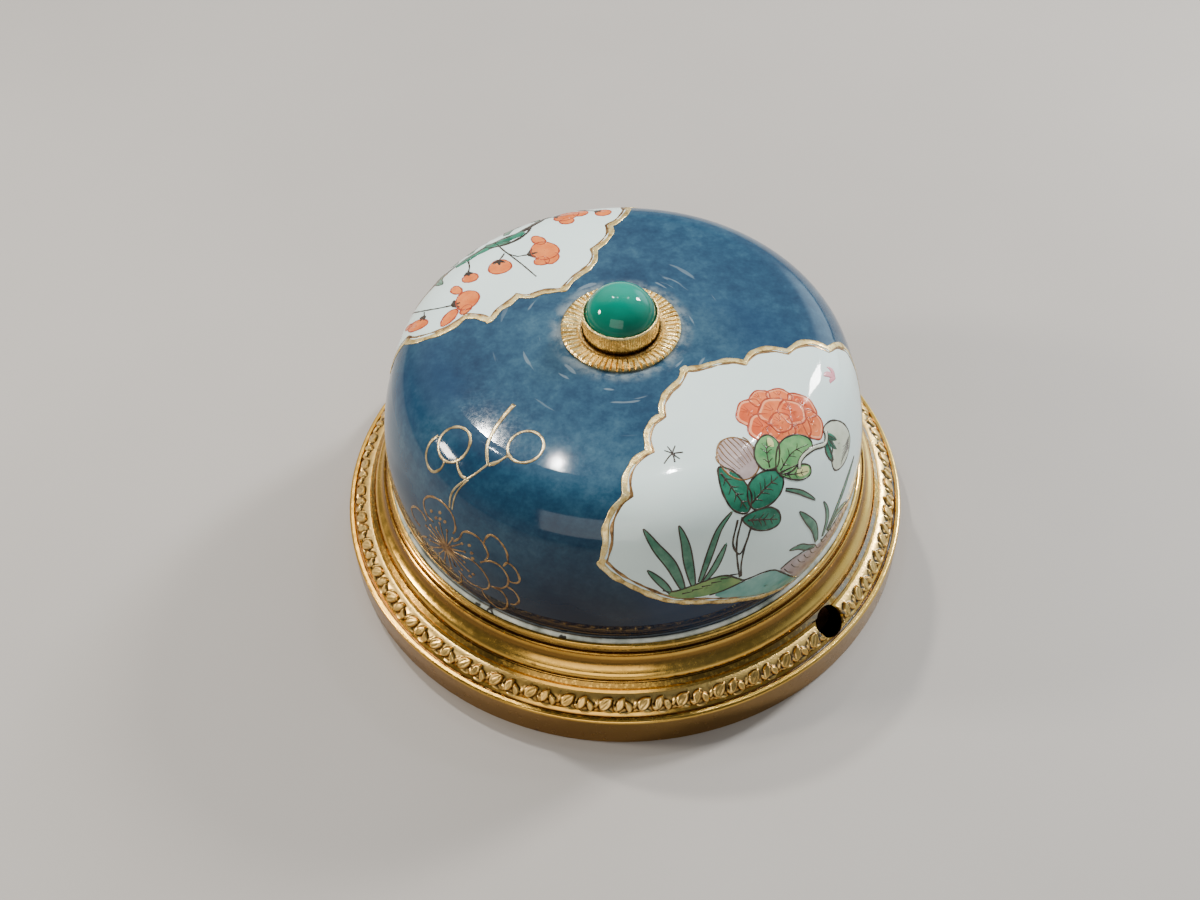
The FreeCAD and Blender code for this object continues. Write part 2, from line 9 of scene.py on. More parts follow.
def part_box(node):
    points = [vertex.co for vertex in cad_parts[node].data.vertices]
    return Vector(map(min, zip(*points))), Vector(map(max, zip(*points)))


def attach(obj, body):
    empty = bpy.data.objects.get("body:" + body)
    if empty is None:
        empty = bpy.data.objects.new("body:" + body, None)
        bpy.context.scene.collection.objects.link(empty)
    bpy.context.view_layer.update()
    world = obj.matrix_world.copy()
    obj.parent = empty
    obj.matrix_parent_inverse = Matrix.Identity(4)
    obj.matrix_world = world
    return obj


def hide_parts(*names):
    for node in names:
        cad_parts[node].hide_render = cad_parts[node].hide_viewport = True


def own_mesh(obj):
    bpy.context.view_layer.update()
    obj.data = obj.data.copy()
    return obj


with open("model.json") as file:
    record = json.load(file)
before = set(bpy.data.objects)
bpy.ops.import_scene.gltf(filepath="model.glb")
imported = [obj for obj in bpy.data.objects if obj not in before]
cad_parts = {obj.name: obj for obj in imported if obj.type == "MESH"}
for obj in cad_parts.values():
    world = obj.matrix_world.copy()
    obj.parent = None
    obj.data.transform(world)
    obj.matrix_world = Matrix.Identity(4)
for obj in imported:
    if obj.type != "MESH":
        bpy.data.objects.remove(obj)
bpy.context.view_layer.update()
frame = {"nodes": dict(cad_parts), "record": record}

# A table bell push seen from above: painted porcelain dome in a gilt ring, green stone button.
# Lengths in this file are millimetres, in the part's own frame; MM turns them into Blender's metres.

MM = 0.001
HOUSING = "housing"
BUTTON = "button"
rng = np.random.default_rng(7)
INLET = frame["record"]["mounts"][0]
INLET_POINT = np.array(INLET["pos_m"]) / MM
INLET_AXIS = np.array(INLET["axis"])
INLET_RADIUS = INLET["dims"]["r_mm"]


def box_mm(node):
    low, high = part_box(node)
    return np.array(low) / MM, np.array(high) / MM


# ------------------------------------------------------------------ meshes
def make_piece(name, verts, faces, material, body, smooth=True):
    """Mesh object from millimetre points, riding on a body."""
    mesh = bpy.data.meshes.new(name)
    mesh.from_pydata((np.asarray(verts, float) * MM).tolist(), [], faces)
    mesh.validate()
    mesh.polygons.foreach_set("use_smooth", [smooth] * len(mesh.polygons))
    mesh.update()
    piece = bpy.data.objects.new(name, mesh)
    bpy.context.scene.collection.objects.link(piece)
    piece.data.materials.append(material)
    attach(piece, body)
    return piece


def grid_faces(rows, columns, wrap_columns=False, wrap_rows=False, start=0):
    """Quads over a rows x columns grid of vertices."""
    faces = []
    last_row = rows if wrap_rows else rows - 1
    last_column = columns if wrap_columns else columns - 1
    for i in range(last_row):
        for j in range(last_column):
            a = start + i * columns + j
            b = start + i * columns + (j + 1) % columns
            c = start + ((i + 1) % rows) * columns + (j + 1) % columns
            d = start + ((i + 1) % rows) * columns + j
            faces.append((a, b, c, d))
    return faces


def lathe(profile, count, ripple=None):
    """Closed ring of revolution: profile is a closed (radius, height) loop."""
    profile = np.asarray(profile, float)
    angles = 2 * np.pi * np.arange(count) / count
    r = np.repeat(profile[:, 0][:, None], count, 1)
    z = np.repeat(profile[:, 1][:, None], count, 1)
    if ripple is not None:
        r, z = ripple(r, z, np.repeat(angles[None, :], len(profile), 0))
    verts = np.stack([r * np.cos(angles), r * np.sin(angles), z], -1).reshape(-1, 3)
    faces = grid_faces(len(profile), count, wrap_columns=True, wrap_rows=True)
    return verts, [f[::-1] for f in faces]


def arc_points(centre, radius, start, stop, count):
    turn = np.linspace(start, stop, count)
    return np.stack([centre[0] + radius * np.cos(turn), centre[1] + radius * np.sin(turn)], -1)


def smooth_curve(points, closed=False, spacing=0.5):
    """Points along a Catmull-Rom curve through the given points. A point may repeat to make a corner."""
    points = [np.array(p, float) for p in points]
    count = len(points)
    out = []
    spans = count if closed else count - 1
    for i in range(spans):
        b, c = points[i], points[(i + 1) % count]
        gap = np.linalg.norm(c - b)
        if gap < 1e-6:
            continue
        a = points[(i - 1) % count] if closed or i > 0 else b
        d = points[(i + 2) % count] if closed or i + 2 < count else c
        steps = max(2, int(math.ceil(gap / spacing)))
        t = (np.arange(steps) / steps)[:, None]
        tangent_b, tangent_c = (c - a) / 2, (d - b) / 2
        out.append(
            (2 * t**3 - 3 * t**2 + 1) * b + (t**3 - 2 * t**2 + t) * tangent_b
            + (3 * t**2 - 2 * t**3) * c + (t**3 - t**2) * tangent_c
        )
    if not closed:
        out.append(points[-1][None])
    return np.vstack(out)


# ------------------------------------------------------------------ the dome's surface
DOME_HIGH = box_mm("porcelain_dome")[1]
DOME_RADIUS = DOME_HIGH[0]
DOME_FOOT = (32.42, 12.4)
BELLY_HEIGHT = 17.0
CHART_CENTRE = 6.0
CHART_RADIUS = 33.0


def dome_profile():
    """Outer profile of the dome from foot to crown seat, as four tangent arcs."""
    foot_arc = 14.083
    side_arc = 33.8
    shoulder_arc = 9.0
    crown_arc = 156.335
    foot_centre = np.array([DOME_RADIUS - foot_arc, BELLY_HEIGHT])
    side_centre = np.array([DOME_RADIUS - side_arc, BELLY_HEIGHT])
    side_turn = math.radians(21.4)
    out = np.array([math.cos(side_turn), math.sin(side_turn)])
    shoulder_centre = side_centre + (side_arc - shoulder_arc) * out
    crown_reach = 23.652
    crown_height = 34.945
    crown_centre = np.array([0.0, crown_height - math.sqrt(crown_arc**2 - crown_reach**2)])
    shoulder_turn = math.atan2(crown_height - shoulder_centre[1], crown_reach - shoulder_centre[0])
    foot_turn = -math.asin((BELLY_HEIGHT - 13.0) / foot_arc)
    return np.vstack([
        [DOME_FOOT],
        arc_points(foot_centre, foot_arc, foot_turn, 0, 12),
        arc_points(side_centre, side_arc, 0, side_turn, 60)[1:],
        arc_points(shoulder_centre, shoulder_arc, side_turn, shoulder_turn, 40)[1:],
        arc_points(crown_centre, crown_arc, math.acos(crown_reach / crown_arc),
            math.acos(8.4 / crown_arc), 40)[1:],
    ])


PROFILE = dome_profile()
PROFILE_RISE = np.arctan2(PROFILE[:, 1] - CHART_CENTRE, PROFILE[:, 0])
PROFILE_REACH = np.hypot(PROFILE[:, 1] - CHART_CENTRE, PROFILE[:, 0])


def on_dome(direction, lift):
    """Points of the dome's surface seen from the chart centre along unit directions, lifted off it."""
    rise = np.arcsin(np.clip(direction[..., 2], -1, 1))
    reach = np.interp(rise, PROFILE_RISE, PROFILE_REACH)
    step = 1e-3
    slope = (np.interp(rise + step, PROFILE_RISE, PROFILE_REACH) - reach) / step
    flat = np.hypot(direction[..., 0], direction[..., 1])
    outward = np.stack([direction[..., 0] / flat, direction[..., 1] / flat], -1)
    normal_out = np.cos(rise) * reach + np.sin(rise) * slope
    normal_up = np.sin(rise) * reach - np.cos(rise) * slope
    size = np.hypot(normal_out, normal_up)
    point = direction * reach[..., None]
    point[..., 2] += CHART_CENTRE
    normal = np.stack([
        outward[..., 0] * normal_out / size, outward[..., 1] * normal_out / size, normal_up / size,
    ], -1)
    return point + normal * np.asarray(lift)[..., None]


class Chart:
    """Flat drawing sheet wrapped on the dome: x runs right and y up, in millimetres from its middle."""

    def __init__(self, azimuth, elevation):
        a, e = math.radians(azimuth), math.radians(elevation)
        self.out = np.array([math.cos(e) * math.cos(a), math.cos(e) * math.sin(a), math.sin(e)])
        self.right = np.array([-math.sin(a), math.cos(a), 0.0])
        self.up = np.cross(self.out, self.right)

    def place(self, flat, lift):
        flat = np.asarray(flat, float)
        reach = np.hypot(flat[..., 0], flat[..., 1])
        turn = reach / CHART_RADIUS
        scale = np.where(reach > 1e-9, np.sin(turn) / np.maximum(reach, 1e-9), 1 / CHART_RADIUS)
        direction = (
            np.cos(turn)[..., None] * self.out
            + (scale * flat[..., 0])[..., None] * self.right
            + (scale * flat[..., 1])[..., None] * self.up
        )
        return on_dome(direction, np.broadcast_to(lift, reach.shape))


# ------------------------------------------------------------------ paint laid on the dome
PANEL_LIFT = 0.035
FILL_LIFT = 0.055
DETAIL_LIFT = 0.07
EDGE_DROP = 0.05


class Paint:
    """Collects closed, paper-thin shells of one colour, to become one piece."""

    def __init__(self, chart):
        self.chart = chart
        self.verts = []
        self.faces = []
        self.count = 0

    def add(self, verts, faces):
        self.verts.append(verts)
        self.faces += [tuple(i + self.count for i in f) for f in faces]
        self.count += len(verts)

    def shell(self, flat, lift):
        """Closed shell over a grid of flat points: rows run outwards, columns go round."""
        rows, columns = flat.shape[:2]
        top = self.chart.place(flat, lift)
        bottom = self.chart.place(flat[-1], lift[-1] - EDGE_DROP)
        verts = np.vstack([top.reshape(-1, 3), bottom.reshape(-1, 3)])
        faces = grid_faces(rows, columns, wrap_columns=True)
        below = rows * columns
        edge = (rows - 1) * columns
        for j in range(columns):
            k = (j + 1) % columns
            faces.append((edge + j, edge + k, below + k, below + j))
        faces.append(tuple(below + j for j in range(columns))[::-1])
        faces.append(tuple(range(columns)))
        self.add(verts, faces)

    def patch(self, outline, lift, centre=None, spacing=0.9, closed_curve=True, crown=0.012):
        """Filled shape, star-shaped about its centre, slightly fuller in the middle."""
        rim = smooth_curve(outline, True, spacing * 0.6) if closed_curve else np.asarray(outline, float)
        middle = rim.mean(0) if centre is None else np.array(centre, float)
        reach = np.hypot(*(rim - middle).T).max()
        rings = max(3, int(math.ceil(reach / spacing)) + 1)
        share = np.r_[np.linspace(0.02, 0.94, rings), 0.985, 1.0]
        flat = middle + share[:, None, None] * (rim - middle)[None]
        height = lift + crown * (1 - share**2)
        height[-1] = lift - 0.012
        self.shell(flat, np.repeat(height[:, None], len(rim), 1))

    def ellipse(self, centre, across, along, lean, lift, crown=0.012, scallops=0, depth=0.0):
        """Round or lobed spot."""
        turn = np.linspace(0, 2 * np.pi, 40, endpoint=False)
        reach = 1 + depth * np.cos(scallops * turn)
        x, y = across * reach * np.cos(turn), along * reach * np.sin(turn)
        c, s = math.cos(math.radians(lean)), math.sin(math.radians(lean))
        rim = np.stack([centre[0] + c * x - s * y, centre[1] + s * x + c * y], -1)
        self.patch(rim, lift, centre, closed_curve=False, crown=crown)
        return rim

    def line(self, points, width, lift, closed=False, taper=(1.0, 1.0), wobble=0.0, raw=False, crown=0.01):
        """Brush line: a low ridge, its width running from taper[0] to taper[1]."""
        spacing = min(0.6, max(0.12, width * 1.2))
        path = np.asarray(points, float) if raw else smooth_curve(points, closed, spacing)
        count = len(path)
        ahead = np.roll(path, -1, 0) - np.roll(path, 1, 0)
        if not closed:
            ahead[0], ahead[-1] = path[1] - path[0], path[-1] - path[-2]
        ahead /= np.maximum(np.linalg.norm(ahead, axis=1, keepdims=True), 1e-9)
        side = np.stack([-ahead[:, 1], ahead[:, 0]], -1)
        run = np.linspace(0, 1, count)
        half = width / 2 * (taper[0] + (taper[1] - taper[0]) * run)
        if wobble:
            half = half * (1 + wobble * np.sin(run * count * 0.9 + path[0, 0]) * np.sin(run * count * 0.37))
        across = np.array([-1.0, -0.55, 0.0, 0.55, 1.0])
        flat = path[:, None, :] + side[:, None, :] * (half[:, None] * across[None, :])[..., None]
        height = lift + crown * (1 - across**2)
        height[[0, -1]] = lift - 0.01
        top = self.chart.place(flat, np.repeat(height[None], count, 0))
        low = self.chart.place(flat[:, [0, -1]], np.full((count, 2), lift - EDGE_DROP))
        section = np.concatenate([top, low[:, 1:], low[:, :1]], 1)
        columns = section.shape[1]
        faces = grid_faces(count, columns, wrap_columns=True, wrap_rows=closed)
        if not closed:
            faces.append(tuple(range(columns))[::-1])
            faces.append(tuple((count - 1) * columns + j for j in range(columns)))
        self.add(section.reshape(-1, 3), [f[::-1] for f in faces])

    def blade(self, points, width, lift, full=0.45, crown=0.012):
        """Leaf blade: widest part-way along, pointed at the tip."""
        path = smooth_curve(points, False, 0.35)
        count = len(path)
        ahead = np.gradient(path, axis=0)
        ahead /= np.linalg.norm(ahead, axis=1, keepdims=True)
        side = np.stack([-ahead[:, 1], ahead[:, 0]], -1)
        run = np.linspace(0, 1, count)
        half = width / 2 * np.where(run < full, 0.45 + 0.55 * np.sin(np.pi / 2 * run / full),
                                    np.cos(np.pi / 2 * (run - full) / (1 - full)) ** 0.8)
        half = np.maximum(half, 0.02)
        left, right = path + side * half[:, None], path - side * half[:, None]
        across = np.array([-1.0, -0.5, 0.0, 0.5, 1.0])
        flat = path[:, None, :] + side[:, None, :] * (half[:, None] * across)[..., None]
        height = lift + crown * (1 - across**2)
        top = self.chart.place(flat, np.repeat(height[None], count, 0))
        low = self.chart.place(flat[:, [0, -1]], np.full((count, 2), lift - EDGE_DROP))
        section = np.concatenate([top, low[:, 1:], low[:, :1]], 1)
        columns = section.shape[1]
        faces = grid_faces(count, columns, wrap_columns=True)
        faces.append(tuple(range(columns))[::-1])
        faces.append(tuple((count - 1) * columns + j for j in range(columns)))
        self.add(section.reshape(-1, 3), [f[::-1] for f in faces])
        return left, right

    def piece(self, name, material):
        return make_piece(name, np.vstack(self.verts), self.faces, material, HOUSING)


# ------------------------------------------------------------------ materials
class Nodes:
    """Small helper for building a material's node tree."""

    def __init__(self, name):
        self.material = bpy.data.materials.new(name)
        self.material.use_nodes = True
        self.tree = self.material.node_tree
        self.tree.nodes.clear()
        self.shader = self.tree.nodes.new("ShaderNodeBsdfPrincipled")
        output = self.tree.nodes.new("ShaderNodeOutputMaterial")
        self.tree.links.new(self.shader.outputs[0], output.inputs[0])
        self.place = self.tree.nodes.new("ShaderNodeTexCoord").outputs["Object"]

    def link(self, source, target):
        self.tree.links.new(source, target)

    def noise(self, scale, detail=4.0, roughness=0.55, vector=None, stretch=None):
        node = self.tree.nodes.new("ShaderNodeTexNoise")
        node.inputs["Scale"].default_value = scale
        node.inputs["Detail"].default_value = detail
        node.inputs["Roughness"].default_value = roughness
        source = vector or self.place
        if stretch:
            mapping = self.tree.nodes.new("ShaderNodeMapping")
            mapping.inputs["Scale"].default_value = stretch
            self.link(source, mapping.inputs["Vector"])
            source = mapping.outputs[0]
        self.link(source, node.inputs["Vector"])
        return node.outputs["Fac"]

    def cells(self, scale, feature="F1"):
        node = self.tree.nodes.new("ShaderNodeTexVoronoi")
        node.feature = feature
        node.inputs["Scale"].default_value = scale
        self.link(self.place, node.inputs["Vector"])
        return node.outputs["Distance"]

    def ramp(self, factor, stops):
        """Colour ramp; a stop is (position, colour)."""
        node = self.tree.nodes.new("ShaderNodeValToRGB")
        ramp = node.color_ramp
        while len(ramp.elements) < len(stops):
            ramp.elements.new(0.5)
        for element, (position, colour) in zip(ramp.elements, stops):
            element.position = position
            element.color = (*colour, 1.0)
        self.link(factor, node.inputs[0])
        return node.outputs[0]

    def math(self, kind, a, b=None, c=None, clamp=False):
        node = self.tree.nodes.new("ShaderNodeMath")
        node.operation = kind
        node.use_clamp = clamp
        for i, value in enumerate((a, b, c)):
            if value is None:
                continue
            if isinstance(value, (int, float)):
                node.inputs[i].default_value = value
            else:
                self.link(value, node.inputs[i])
        return node.outputs[0]

    def spread(self, value, low, high, to_low=0.0, to_high=1.0):
        """Smooth step of a value from one range to another."""
        node = self.tree.nodes.new("ShaderNodeMapRange")
        node.interpolation_type = "SMOOTHSTEP"
        node.inputs["From Min"].default_value = low
        node.inputs["From Max"].default_value = high
        node.inputs["To Min"].default_value = to_low
        node.inputs["To Max"].default_value = to_high
        self.link(value, node.inputs["Value"])
        return node.outputs["Result"]

    def mix(self, factor, a, b, kind="MIX"):
        node = self.tree.nodes.new("ShaderNodeMix")
        node.data_type = "RGBA"
        node.blend_type = kind
        for value, name in ((factor, "Factor"), (a, "A"), (b, "B")):
            kind = "VALUE" if name == "Factor" else "RGBA"
            socket = [s for s in node.inputs if s.name == name and s.type == kind][0]
            if isinstance(value, (int, float)):
                socket.default_value = value
            elif isinstance(value, tuple):
                socket.default_value = (*value, 1.0)
            else:
                self.link(value, socket)
        return [s for s in node.outputs if s.type == "RGBA"][0]

    def xyz(self):
        node = self.tree.nodes.new("ShaderNodeSeparateXYZ")
        self.link(self.place, node.inputs[0])
        return node.outputs

    def radius(self):
        x, y, _ = self.xyz()
        return self.math("SQRT", self.math("ADD", self.math("MULTIPLY", x, x), self.math("MULTIPLY", y, y)))

    def height(self):
        return self.xyz()[2]

    def around(self):
        """Angle round the upright axis as a vector that varies only with it."""
        x, y, _ = self.xyz()
        return self.math("ARCTAN2", y, x)

    def bump(self, height, strength, distance, base=None):
        node = self.tree.nodes.new("ShaderNodeBump")
        node.inputs["Strength"].default_value = strength
        node.inputs["Distance"].default_value = distance
        self.link(height, node.inputs["Height"])
        if base is not None:
            self.link(base, node.inputs["Normal"])
        return node.outputs[0]

    def finish(self, colour, roughness, metallic=0.0, normal=None, coat=0.0, coat_roughness=0.05, ior=1.5,
               specular=0.5, sheen=0.0):
        for value, name in ((colour, "Base Color"), (roughness, "Roughness")):
            socket = self.shader.inputs[name]
            if isinstance(value, (int, float)):
                socket.default_value = value
            elif isinstance(value, tuple):
                socket.default_value = (*value, 1.0)
            else:
                self.link(value, socket)
        self.shader.inputs["Metallic"].default_value = metallic
        self.shader.inputs["IOR"].default_value = ior
        self.shader.inputs["Specular IOR Level"].default_value = specular
        self.shader.inputs["Coat Weight"].default_value = coat
        self.shader.inputs["Coat Roughness"].default_value = coat_roughness
        self.shader.inputs["Sheen Weight"].default_value = sheen
        if normal is not None:
            self.link(normal, self.shader.inputs["Normal"])
        return self.material


def bore_shadow(m):
    """1 inside the cord inlet's bore: painted shade that keeps it near black."""
    offset = m.tree.nodes.new("ShaderNodeVectorMath")
    offset.operation = "SUBTRACT"
    m.link(m.place, offset.inputs[0])
    offset.inputs[1].default_value = tuple(INLET_POINT * MM)
    cross = m.tree.nodes.new("ShaderNodeVectorMath")
    cross.operation = "CROSS_PRODUCT"
    m.link(offset.outputs[0], cross.inputs[0])
    cross.inputs[1].default_value = tuple(INLET_AXIS)
    length = m.tree.nodes.new("ShaderNodeVectorMath")
    length.operation = "LENGTH"
    m.link(cross.outputs[0], length.inputs[0])
    along = m.tree.nodes.new("ShaderNodeVectorMath")
    along.operation = "DOT_PRODUCT"
    m.link(offset.outputs[0], along.inputs[0])
    along.inputs[1].default_value = tuple(INLET_AXIS)
    near = m.spread(length.outputs["Value"], 0.00234, 0.00221)
    return m.math("MULTIPLY", near, m.spread(along.outputs["Value"], 0.0008, 0.0))


def gilt_ring_material():
    """Old mercury gilding on cast bronze: rubbed warm gold, brown patina in the recess and grooves, painted
    shade in the cove, a painted dark reflection on the plinth wall, a few dark flecks.
    """
    m = Nodes("gilt_bronze")
    broad = m.noise(38, 3)
    fine = m.noise(1100, 5, 0.65)
    gold = m.ramp(broad, [(0.3, (0.62, 0.34, 0.055)), (0.52, (0.74, 0.44, 0.085)), (0.75, (0.86, 0.57,
        0.15))])
    gold = m.mix(m.spread(fine, 0.55, 0.75, 0, 0.18), gold, (0.38, 0.19, 0.035))
    r = m.radius()
    z = m.height()
    x, y, _ = m.xyz()
    recess = m.math("MULTIPLY", m.spread(r, 0.0393, 0.03922), m.spread(r, 0.0388, 0.0390))
    groove_a = m.math("MULTIPLY", m.spread(r, 0.03590, 0.03583), m.spread(r, 0.03566, 0.03574))
    groove_b = m.math("MULTIPLY", m.spread(r, 0.03402, 0.03392), m.spread(r, 0.03356, 0.03362))
    # painted shade: the cove darkened towards its fold
    cove = m.math("MULTIPLY", m.spread(r, 0.0350, 0.0343), m.spread(r, 0.03402, 0.03415))
    # painted reflection: the plinth wall darkened as though reflecting dark surroundings
    wall = m.math("MULTIPLY", m.spread(r, 0.03985, 0.03995), m.spread(z, 0.0050, 0.0046))
    stipple = m.math("MULTIPLY", m.spread(r, 0.03655, 0.03645), m.spread(r, 0.03590, 0.03598))
    # brown patina in the recess and grooves, with painted shade in the cove and painted reflection on the
    # wall
    patina_and_painted_shade = m.math("MAXIMUM", m.math("MAXIMUM", recess, groove_a), m.math("MULTIPLY", groove_b, 0.85))
    patina_and_painted_shade = m.math("MAXIMUM", patina_and_painted_shade, m.math("MULTIPLY", cove, 0.85))
    patina_and_painted_shade = m.math("MAXIMUM", patina_and_painted_shade, m.math("MULTIPLY", wall, 0.7))
    colour = m.mix(patina_and_painted_shade, gold, (0.15, 0.07, 0.02))
    dots = m.spread(m.cells(2100), 0.25, 0.5)
    colour = m.mix(m.math("MULTIPLY", stipple, m.math("MULTIPLY", dots, 0.6)), colour, (0.2, 0.11, 0.03))
    patina = m.math("MULTIPLY", m.spread(x, 0.012, 0.034), m.spread(m.noise(210, 4), 0.4, 0.62))
    patina = m.math("MULTIPLY", patina, m.math("MAXIMUM", m.math("MAXIMUM", recess, stipple), 0.12))
    colour = m.mix(m.math("MULTIPLY", patina, 0.7), colour, (0.34, 0.39, 0.42))
    flecks = m.spread(m.noise(430, 3, 0.5), 0.69, 0.75, 0, 0.7)
    colour = m.mix(flecks, colour, (0.10, 0.05, 0.02))
    # painted shade: near black inside the cord inlet's bore
    colour = m.mix(bore_shadow(m), colour, (0.002, 0.002, 0.002))
    rough = m.spread(fine, 0.3, 0.75, 0.16, 0.3)
    normal = m.bump(fine, 0.06, 0.0001)
    normal = m.bump(m.noise(90, 2), 0.05, 0.0003, normal)
    return m.finish(colour, rough, 1.0, normal)


def leaf_relief_material():
    """Chased leaf band: bright leaf edges, painted shade in the hollows of the relief and beside the leaves,
    brown, turning grey towards +x.
    """
    m = Nodes("gilt_leaf_relief")
    broad = m.noise(60, 3)
    fine = m.noise(1300, 5, 0.65)
    gold = m.ramp(broad, [(0.3, (0.72, 0.43, 0.10)), (0.7, (0.90, 0.62, 0.21))])
    gold = m.mix(m.spread(fine, 0.55, 0.75, 0, 0.15), gold, (0.40, 0.22, 0.05))
    # painted shade: a per-point attribute, high in hollows and beside the leaves, darkens the gold there
    attribute = m.tree.nodes.new("ShaderNodeAttribute")
    attribute.attribute_name = "cavity_shade"
    x, _, _ = m.xyz()
    # colour of the painted shade: dark brown, turning grey towards +x
    dark_tone_and_painted_shade = m.mix(m.spread(x, 0.012, 0.034), (0.055, 0.024, 0.007), (0.13, 0.14, 0.14))
    amount = m.math("MULTIPLY", attribute.outputs["Fac"], m.spread(m.noise(500, 3), 0.2, 0.5, 0.75, 1.0))
    colour = m.mix(amount, gold, dark_tone_and_painted_shade)
    # painted shade: near black inside the cord inlet's bore
    colour = m.mix(bore_shadow(m), colour, (0.002, 0.002, 0.002))
    rough = m.spread(fine, 0.3, 0.75, 0.26, 0.4)
    return m.finish(colour, rough, 1.0, m.bump(fine, 0.05, 0.0001))


def fitting_material(name, streaks):
    """Paler gilding of the crown fittings, with dark fine lines that run out from the axis, painted shade in
    the gap round the bezel's foot, and a darker outer rim.
    """
    m = Nodes(name)
    fine = m.noise(1500, 4)
    colour = m.ramp(m.noise(130, 3), [(0.3, (0.74, 0.50, 0.17)), (0.7, (0.95, 0.77, 0.38))])
    r = m.radius()
    angle = m.around()
    z = m.height()
    spin = m.tree.nodes.new("ShaderNodeCombineXYZ")
    m.link(m.math("COSINE", angle), spin.inputs[0])
    m.link(m.math("SINE", angle), spin.inputs[1])
    m.link(m.math("ADD", m.math("MULTIPLY", r, 22.0), m.math("MULTIPLY", z, 22.0)), spin.inputs[2])
    lines = m.noise(42, 2, 0.5, vector=spin.outputs[0])
    dark_tone_and_painted_shade = m.math("MULTIPLY", m.spread(lines, 0.5, 0.62), streaks)
    # painted shade: darker in the gap round the bezel's foot
    gap = m.math("MULTIPLY", m.spread(r, 0.00555, 0.00515), m.spread(z, 0.0375, 0.0372))
    dark_tone_and_painted_shade = m.math("MAXIMUM", dark_tone_and_painted_shade, gap)
    edge = m.math("MULTIPLY", m.spread(r, 0.0076, 0.00778), m.spread(m.noise(600, 3), 0.35, 0.6, 0, 0.6))
    colour = m.mix(m.math("MAXIMUM", dark_tone_and_painted_shade, edge), colour, (0.21, 0.12, 0.035))
    rough = m.spread(fine, 0.3, 0.7, 0.2, 0.38)
    return m.finish(colour, rough, 1.0, m.bump(lines, 0.3, 0.0003))


def glaze_material():
    """Powder-blown blue under a clear glaze: fine speckle over soft clouds, near black at the foot, the
    darkening partly the glaze's own colour and partly painted shade and reflection.
    """
    m = Nodes("powder_blue_glaze")
    clouds = m.noise(60, 4, 0.55)
    mottle = m.noise(620, 4, 0.6)
    grain = m.noise(2200, 3, 0.6)
    blend = m.math("ADD", m.math("MULTIPLY", clouds, 0.55), m.math("MULTIPLY", mottle, 0.3))
    blend = m.math("ADD", blend, m.math("MULTIPLY", grain, 0.15))
    blue = m.ramp(blend, [
        (0.36, (0.009, 0.030, 0.068)), (0.47, (0.015, 0.051, 0.098)),
        (0.54, (0.024, 0.073, 0.125)), (0.66, (0.050, 0.119, 0.175)),
    ])
    x, y, z = m.xyz()
    # darker towards the foot, the front and the right: partly the glaze's own colour, partly painted shade
    # and dark reflection
    tilt = m.math("ADD", z, m.math("MULTIPLY", m.math("ADD", y, m.math("MULTIPLY", x, -0.35)), 0.22))
    deep = m.spread(m.math("ADD", tilt, m.math("MULTIPLY", clouds, 0.006)), 0.037, 0.011)
    blue = m.mix(m.math("MULTIPLY", deep, 0.93), blue, (0.002, 0.005, 0.016))
    pool = m.spread(m.noise(34, 2, 0.4), 0.53, 0.63, 0, 0.5)
    blue = m.mix(pool, blue, (0.006, 0.032, 0.085))
    r = m.radius()
    ring = m.math("MULTIPLY", m.spread(r, 0.0099, 0.0080), m.spread(m.noise(420, 5, 0.65), 0.36, 0.6))
    blue = m.mix(m.math("MULTIPLY", ring, 0.55), blue, (0.30, 0.36, 0.38))
    foot = m.math("MULTIPLY", m.spread(z, 0.01365, 0.01345), m.spread(z, 0.0125, 0.0127))
    blue = m.mix(foot, blue, (0.16, 0.085, 0.03))
    spin = m.tree.nodes.new("ShaderNodeCombineXYZ")
    m.link(m.math("MULTIPLY", r, 900.0), spin.inputs[0])
    m.link(m.math("MULTIPLY", m.around(), 1.6), spin.inputs[1])
    arcs = m.noise(1.0, 2, 0.5, vector=spin.outputs[0])
    scratch = m.math("MULTIPLY", m.spread(arcs, 0.66, 0.70), m.spread(r, 0.0205, 0.0105))
    blue = m.mix(m.math("MULTIPLY", scratch, 0.3), blue, (0.36, 0.44, 0.49))
    rough = m.math("ADD", m.math("MULTIPLY", scratch, 0.12), m.spread(grain, 0.3, 0.7, 0.06, 0.1))
    normal = m.bump(m.noise(230, 2), 0.03, 0.0002)
    return m.finish(blue, rough, 0.0, normal, specular=0.3)


def enamel(name, low, high, scale=500, rough=0.12, dark=None):
    """Overglaze enamel colour with brushy variation and a wet gloss."""
    m = Nodes(name)
    colour = m.ramp(m.noise(scale, 4, 0.6), [(0.32, low), (0.68, high)])
    if dark:
        colour = m.mix(m.spread(m.noise(scale * 0.3, 2), 0.5, 0.68, 0, 0.7), colour, dark)
    normal = m.bump(m.noise(700, 2), 0.06, 0.0001)
    return m.finish(colour, rough, 0.0, normal, specular=0.34)


def gilt_line_material(name, dark, middle, light):
    """Brushed gold line, rubbed thin in places so that brown shows."""
    m = Nodes(name)
    wear = m.noise(900, 4, 0.6)
    colour = m.ramp(wear, [(0.36, dark), (0.5, middle), (0.68, light)])
    rough = m.spread(wear, 0.3, 0.7, 0.42, 0.24)
    return m.finish(colour, rough, 0.6, m.bump(wear, 0.2, 0.0001))


